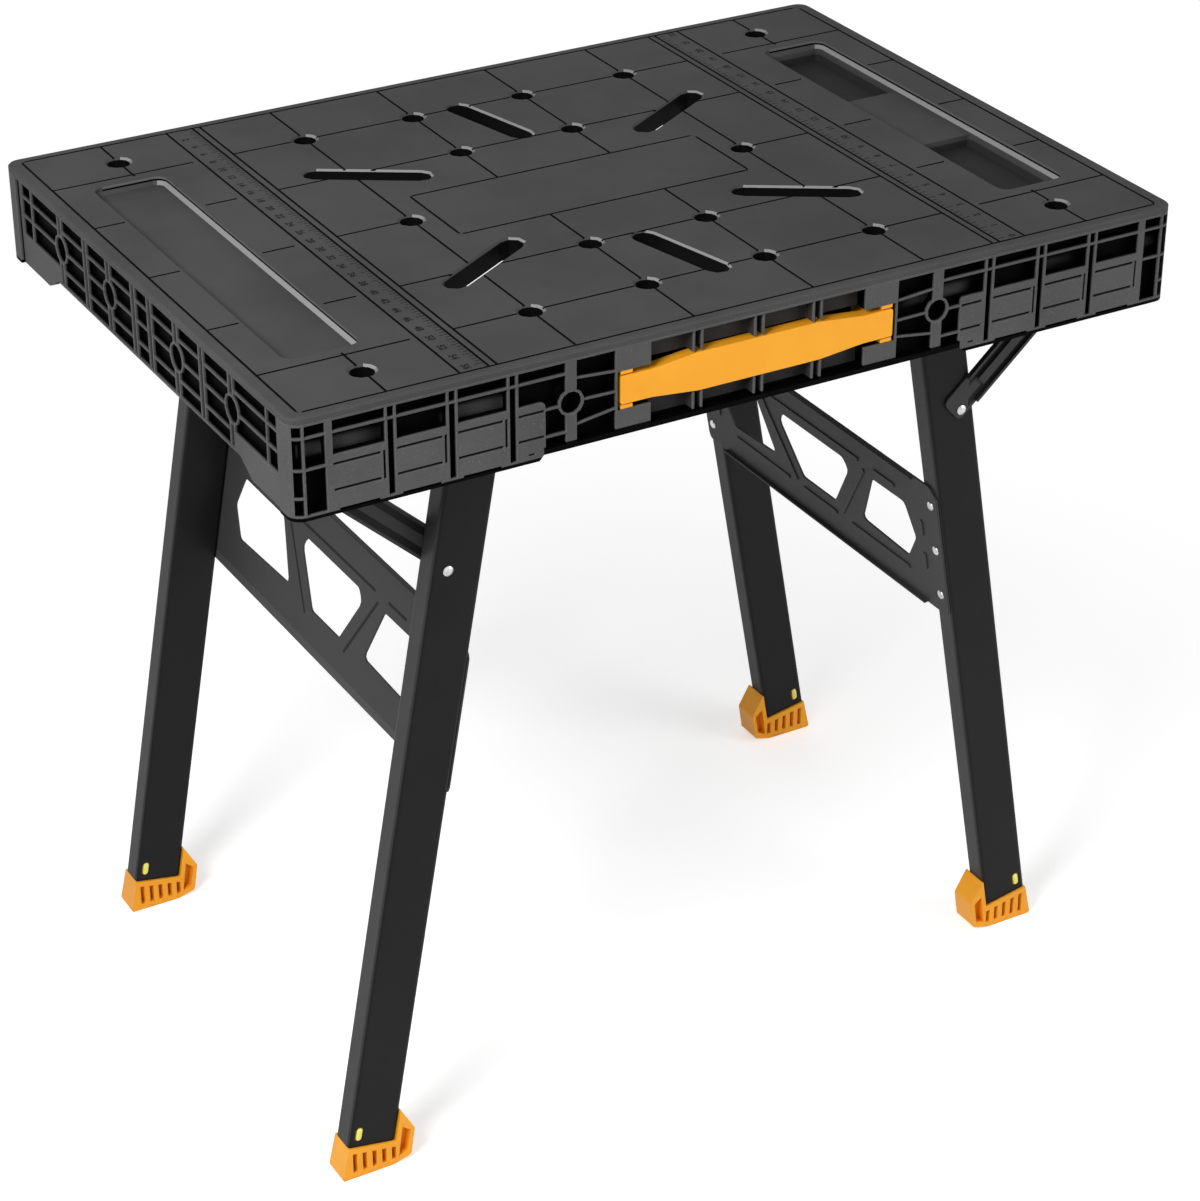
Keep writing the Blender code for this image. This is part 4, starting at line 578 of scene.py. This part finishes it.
def pieceFrom(name, bm, material, body, smooth=False):
    mesh = bpy.data.meshes.new(name)
    bmesh.ops.recalc_face_normals(bm, faces=bm.faces)
    bm.to_mesh(mesh)
    bm.free()
    mesh.materials.append(material)
    if smooth:
        mesh.shade_smooth()
        mesh.set_sharp_from_angle(angle=sharpAngle)
    obj = bpy.data.objects.new(name, mesh)
    bpy.context.scene.collection.objects.link(obj)
    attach(obj, body)
    return obj


def joinRings(bm, first, second):
    for j in range(len(first)):
        k = (j + 1) % len(first)
        bm.faces.new((first[j], first[k], second[k], second[j]))


# rulers: figures and ticks engraved in the deck, filled with shade
rulerLook = {
    "engravingShade": (0.0015, 0.0015, 0.0015), "lighter": 3.0, "roughness": 0.7, "specular": 0.1,
    "patchScale": 900.0, "patchDetail": 3.0, "patchStep": (0.35, 0.75),
    "figureSize": 0.00899, "figureX": 0.2590, "bold": 0.00034, "curveSteps": 2,
    "rise": 0.00006, "margin": 0.0125,
    "tickStart": 0.2440, "tickWidth": 0.00110, "ticksPerLabel": 4,
    "tickLengths": (0.0072, 0.0042, 0.0056, 0.0042),
}

# the metric figures grow towards the front, the inch figures towards the back
rulerKinds = {
    "metric_ruler": {
        "side": -1, "first": 0.2830, "step": -0.0200, "labels": 29, "count": 2, "shift": 0.0,
    },
    "inch_ruler": {
        "side": 1, "first": -0.2794, "step": 0.0254, "labels": 23, "count": 1, "shift": 0.0005,
    },
}


# the engravings are painted dark as shade
def engravingShadeMaterial():
    look = rulerLook
    mat, tree, shader = newMaterial("engravedShade")
    coords = texCoord(tree, "Object")
    patchy = noiseNode(tree, coords, look["patchScale"], look["patchDetail"])
    lighter = tuple(value * look["lighter"] for value in look["engravingShade"])
    colour = mixColours(tree, stepNode(tree, patchy, *look["patchStep"]), look["engravingShade"], lighter)
    tree.links.new(colour, shader.inputs["Base Color"])
    shader.inputs["Roughness"].default_value = look["roughness"]
    shader.inputs["Specular IOR Level"].default_value = look["specular"]
    return mat


def addFigure(bm, text, x, y, turn):
    curve = bpy.data.curves.new("figure", "FONT")
    curve.body = text
    curve.size = rulerLook["figureSize"]
    curve.align_x = "CENTER"
    curve.align_y = "CENTER"
    curve.resolution_u = rulerLook["curveSteps"]
    curve.offset = rulerLook["bold"]
    holder = bpy.data.objects.new("figure", curve)
    bpy.context.scene.collection.objects.link(holder)
    bpy.context.view_layer.update()
    depsgraph = bpy.context.evaluated_depsgraph_get()
    mesh = bpy.data.meshes.new_from_object(holder.evaluated_get(depsgraph))
    place = Matrix.Translation((x, y, topZ + rulerLook["rise"]))
    mesh.transform(place @ Matrix.Rotation(turn, 4, "Z"))
    bm.from_mesh(mesh)
    bpy.data.objects.remove(holder, do_unlink=True)
    bpy.data.curves.remove(curve)
    bpy.data.meshes.remove(mesh)


def addTick(bm, x0, x1, y):
    y0, y1 = y - rulerLook["tickWidth"] / 2, y + rulerLook["tickWidth"] / 2
    z = topZ + rulerLook["rise"]
    corners = ((x0, y0, z), (x1, y0, z), (x1, y1, z), (x0, y1, z))
    bm.faces.new([bm.verts.new(corner) for corner in corners])


def makeRuler(name, material):
    look = rulerLook
    kind = rulerKinds[name]
    side = kind["side"]
    perLabel = look["ticksPerLabel"]
    bm = bmesh.new()
    for i in range(kind["labels"]):
        y = kind["first"] + kind["step"] * i
        if abs(y) < halfWidth - look["margin"]:
            x = side * (look["figureX"] + kind["shift"])
            addFigure(bm, str(kind["count"] * i), x, y, side * math.pi / 2)
    for i in range(perLabel * (kind["labels"] - 1) + 1):
        y = kind["first"] + kind["step"] * i / perLabel
        reach = look["tickStart"] + look["tickLengths"][i % perLabel]
        x0, x1 = sorted((side * look["tickStart"], side * reach))
        addTick(bm, x0, x1, y)
    return pieceFrom(name, bm, material, "bench_top")


engravingShade = engravingShadeMaterial()
for rulerName in rulerKinds:
    makeRuler(rulerName, engravingShade)
print("rulers drawn")

# rivets that hold the gussets to the legs; they sit on the gusset's sheet
rivetLook = {
    "radius": 0.0045, "rise": 0.0016, "segments": 20,
    "rings": ((1.0, 0.0), (0.96, 0.42), (0.80, 0.76), (0.50, 0.94), (0.20, 1.0)),
    "down": (0.2135, 0.2625, 0.3115), "tubeHalf": 0.02325, "gap": 0.0003, "sheet": 0.0018,
}

# distance of each leg frame's legs from the middle of the bench
legY = {"left": 0.2375, "right": 0.2005}


def addDome(bm, centre, outward):
    look = rivetLook
    side = outward.orthogonal().normalized()
    other = outward.cross(side)
    previous = None
    for share, height in look["rings"]:
        ring = []
        for j in range(look["segments"]):
            angle = 2 * math.pi * j / look["segments"]
            offset = (side * math.cos(angle) + other * math.sin(angle)) * (look["radius"] * share)
            ring.append(bm.verts.new(centre + offset + outward * (look["rise"] * height)))
        if previous:
            joinRings(bm, previous, ring)
        previous = ring
    bm.faces.new(previous)


def gussetRivets(side, sx):
    bm = bmesh.new()
    pinX, pinZ = legLine["topPin"]
    lean = legLine["lean"]
    face = -rivetLook["tubeHalf"] - rivetLook["gap"] - rivetLook["sheet"]
    outward = Vector((-sx * math.cos(lean), 0.0, -math.sin(lean)))
    for down in rivetLook["down"]:
        x = pinX + down * math.sin(lean) + face * math.cos(lean)
        z = pinZ - down * math.cos(lean) + face * math.sin(lean)
        for sy in (-1, 1):
            addDome(bm, Vector((sx * x, sy * legY[side], z)), outward)
    name = f"{side}_gusset_rivets"
    return pieceFrom(name, bm, zincMaterial, f"{side}_leg_frame", smooth=True)


gussetRivets("left", -1)
gussetRivets("right", 1)
print("rivets set")

# pale spring tabs that hold the feet, seen in the front of each tube
tabLook = {
    "colour": (0.890, 0.860, 0.180), "shade": (0.800, 0.700, 0.090), "roughness": 0.45,
    "patchScale": 300.0, "patchDetail": 4.0, "patchStep": (0.45, 0.75),
    "grain": 1400.0, "grainDetail": 2.0, "grainDepth": 0.00005, "bump": 0.4,
    "out": 0.0141, "down": 0.6662, "halfDepth": 0.0120, "sides": 8,
    "halfLength": 0.0036, "halfWidth": 0.0027, "straight": 0.6,
    # share of the width, and depth along y, of each ring from the tube outwards
    "rings": ((1.0, 0.0006), (1.0, -0.00024), (0.90, -0.0006), (0.45, -0.0011)),
}


def tabMaterial():
    look = tabLook
    mat, tree, shader = newMaterial("springTabPlastic")
    coords = texCoord(tree, "Object")
    cloud = noiseNode(tree, coords, look["patchScale"], look["patchDetail"])
    patch = stepNode(tree, cloud, *look["patchStep"])
    colour = mixColours(tree, patch, look["colour"], look["shade"])
    tree.links.new(colour, shader.inputs["Base Color"])
    fine = noiseNode(tree, coords, look["grain"], look["grainDetail"])
    setBump(tree, shader, fine, look["bump"], look["grainDepth"])
    shader.inputs["Roughness"].default_value = look["roughness"]
    return mat


def springTab(side, end, sx, sy, material):
    look = tabLook
    lean = legLine["lean"]
    pinX, pinZ = legLine["topPin"]
    along = Vector((sx * math.sin(lean), 0.0, -math.cos(lean)))
    across = Vector((sx * math.cos(lean), 0.0, math.sin(lean)))
    middle = Vector((sx * pinX, 0.0, pinZ)) + along * look["down"] + across * look["out"]
    middle.y = sy * legY[side] - look["halfDepth"]
    bm = bmesh.new()
    previous = None
    for share, y in look["rings"]:
        ring = []
        stretch = look["straight"] + (1.0 - look["straight"]) * share
        for j in range(2 * look["sides"]):
            turn = math.pi * (j + 0.5) / look["sides"]
            shift = look["halfLength"] if math.sin(turn) > 0 else -look["halfLength"]
            spot = across * (look["halfWidth"] * share * math.cos(turn))
            spot += along * (look["halfWidth"] * share * math.sin(turn) + shift * stretch)
            ring.append(bm.verts.new(middle + spot + Vector((0.0, y, 0.0))))
        if previous:
            joinRings(bm, previous, ring)
        else:
            bm.faces.new(ring)
        previous = ring
    bm.faces.new(previous)
    name = f"{side}_{end}_spring_tab"
    return pieceFrom(name, bm, material, f"{side}_leg_frame", smooth=True)


tabPlastic = tabMaterial()
for side, sx in (("left", -1), ("right", 1)):
    for end, sy in (("front", -1), ("rear", 1)):
        springTab(side, end, sx, sy, tabPlastic)
print("spring tabs set")

# floor, world, lights and camera

stageLook = {
    "floor": (0.90, 0.90, 0.90), "roughness": 0.9, "radius": 14.0, "segments": 64,
    "below": 0.0004, "near": 0.50, "far": 1.15, "glow": 0.50,
}


def seenDirectly(tree):  # 1 for rays from the camera, also off gloss and through glass
    rays = tree.nodes.new("ShaderNodeLightPath").outputs
    kinds = ("Is Camera Ray", "Is Glossy Ray", "Is Transmission Ray")
    return largest(tree, *(rays[kind] for kind in kinds))


def mixShaders(tree, factor, first, second):
    mix = tree.nodes.new("ShaderNodeMixShader")
    tree.links.new(factor, mix.inputs[0])
    tree.links.new(first.outputs[0], mix.inputs[1])
    tree.links.new(second.outputs[0], mix.inputs[2])
    return mix


def emission(tree, strength):
    node = tree.nodes.new("ShaderNodeEmission")
    node.inputs["Strength"].default_value = strength
    return node


def makeFloor():  # the floor keeps its shadow near the bench and fades to white further out
    look = stageLook
    bm = bmesh.new()
    bmesh.ops.create_circle(bm, cap_ends=True, segments=look["segments"], radius=look["radius"])
    mesh = bpy.data.meshes.new("studio_floor")
    bm.to_mesh(mesh)
    bm.free()
    floor = bpy.data.objects.new("studio_floor", mesh)
    floor.location.z = -look["below"]
    bpy.context.scene.collection.objects.link(floor)
    mat, tree, shader = newMaterial("studioFloor")
    shader.inputs["Base Color"].default_value = (*look["floor"], 1.0)
    shader.inputs["Roughness"].default_value = look["roughness"]
    shader.inputs["Specular IOR Level"].default_value = 0.0
    length = tree.nodes.new("ShaderNodeVectorMath")
    length.operation = "LENGTH"
    tree.links.new(texCoord(tree, "Object"), length.inputs[0])
    away = stepNode(tree, length.outputs["Value"], look["near"], look["far"])
    lit = tree.nodes.new("ShaderNodeAddShader")
    tree.links.new(shader.outputs[0], lit.inputs[0])
    tree.links.new(emission(tree, look["glow"]).outputs[0], lit.inputs[1])
    backdrop = mixShaders(tree, away, lit, emission(tree, 1.0))
    choose = mixShaders(tree, seenDirectly(tree), shader, backdrop)
    tree.links.new(choose.outputs[0], tree.nodes["Material Output"].inputs["Surface"])
    mesh.materials.append(mat)
    return floor


lightLook = {
    "world": 0.30, "aim": (0.0, 0.0, 0.45),
    "lamps": {
        "key": {"place": (-1.8, -1.1, 2.0), "size": 1.0, "power": 46.0},
        "fill": {"place": (2.4, -2.4, 1.3), "size": 2.2, "power": 42.0},
        "back": {"place": (0.6, 3.0, 2.4), "size": 2.4, "power": 6.0},
    },
}


def makeWorld():  # white to look at, softer as a light
    world = bpy.data.worlds.new("studio")
    world.use_nodes = True
    tree = world.node_tree
    soft = tree.nodes["Background"]
    white = tree.nodes.new("ShaderNodeBackground")
    for node, strength in ((soft, lightLook["world"]), (white, 1.0)):
        node.inputs["Color"].default_value = (1.0, 1.0, 1.0, 1.0)
        node.inputs["Strength"].default_value = strength
    choose = mixShaders(tree, seenDirectly(tree), soft, white)
    tree.links.new(choose.outputs[0], tree.nodes["World Output"].inputs["Surface"])
    bpy.context.scene.world = world


def makeLight(name, look):
    lamp = bpy.data.lights.new(name, "AREA")
    lamp.shape = "DISK"
    lamp.size = look["size"]
    lamp.energy = look["power"]
    obj = bpy.data.objects.new(name, lamp)
    place = Vector(look["place"])
    obj.location = place
    obj.rotation_euler = (Vector(lightLook["aim"]) - place).to_track_quat("-Z", "Y").to_euler()
    bpy.context.scene.collection.objects.link(obj)


# fitted to the photograph: place from the middle of the deck's top, focal length in its pixels
cameraLook = {
    "azimuth": math.radians(-29.7266), "elevation": math.radians(29.6487), "distance": 2.9188,
    "right": 0.0168, "up": -0.3639, "focalPixels": 3349.46, "photoPixels": 1201.0, "sensor": 36.0,
}


def makeCamera():
    look = cameraLook
    azimuth = look["azimuth"]
    elevation = look["elevation"]
    level = math.cos(elevation)
    back = Vector((math.sin(azimuth) * level, -math.cos(azimuth) * level, math.sin(elevation)))
    right = Vector((math.cos(azimuth), math.sin(azimuth), 0.0))
    up = back.cross(right)
    camera = bpy.data.cameras.new("camera")
    camera.lens = look["focalPixels"] * look["sensor"] / look["photoPixels"]
    camera.sensor_width = look["sensor"]
    camera.sensor_fit = "AUTO"
    obj = bpy.data.objects.new("camera", camera)
    place = back * look["distance"] + right * look["right"] + up * look["up"]
    obj.location = place + Vector((0.0, 0.0, topZ))
    obj.rotation_euler = (math.pi / 2 - elevation, 0.0, azimuth)
    bpy.context.scene.collection.objects.link(obj)
    bpy.context.scene.camera = obj


makeFloor()
makeWorld()
for lightName, lampLook in lightLook["lamps"].items():
    makeLight(lightName, lampLook)
makeCamera()
bpy.context.scene.view_settings.view_transform = "Standard"
print("stage ready")
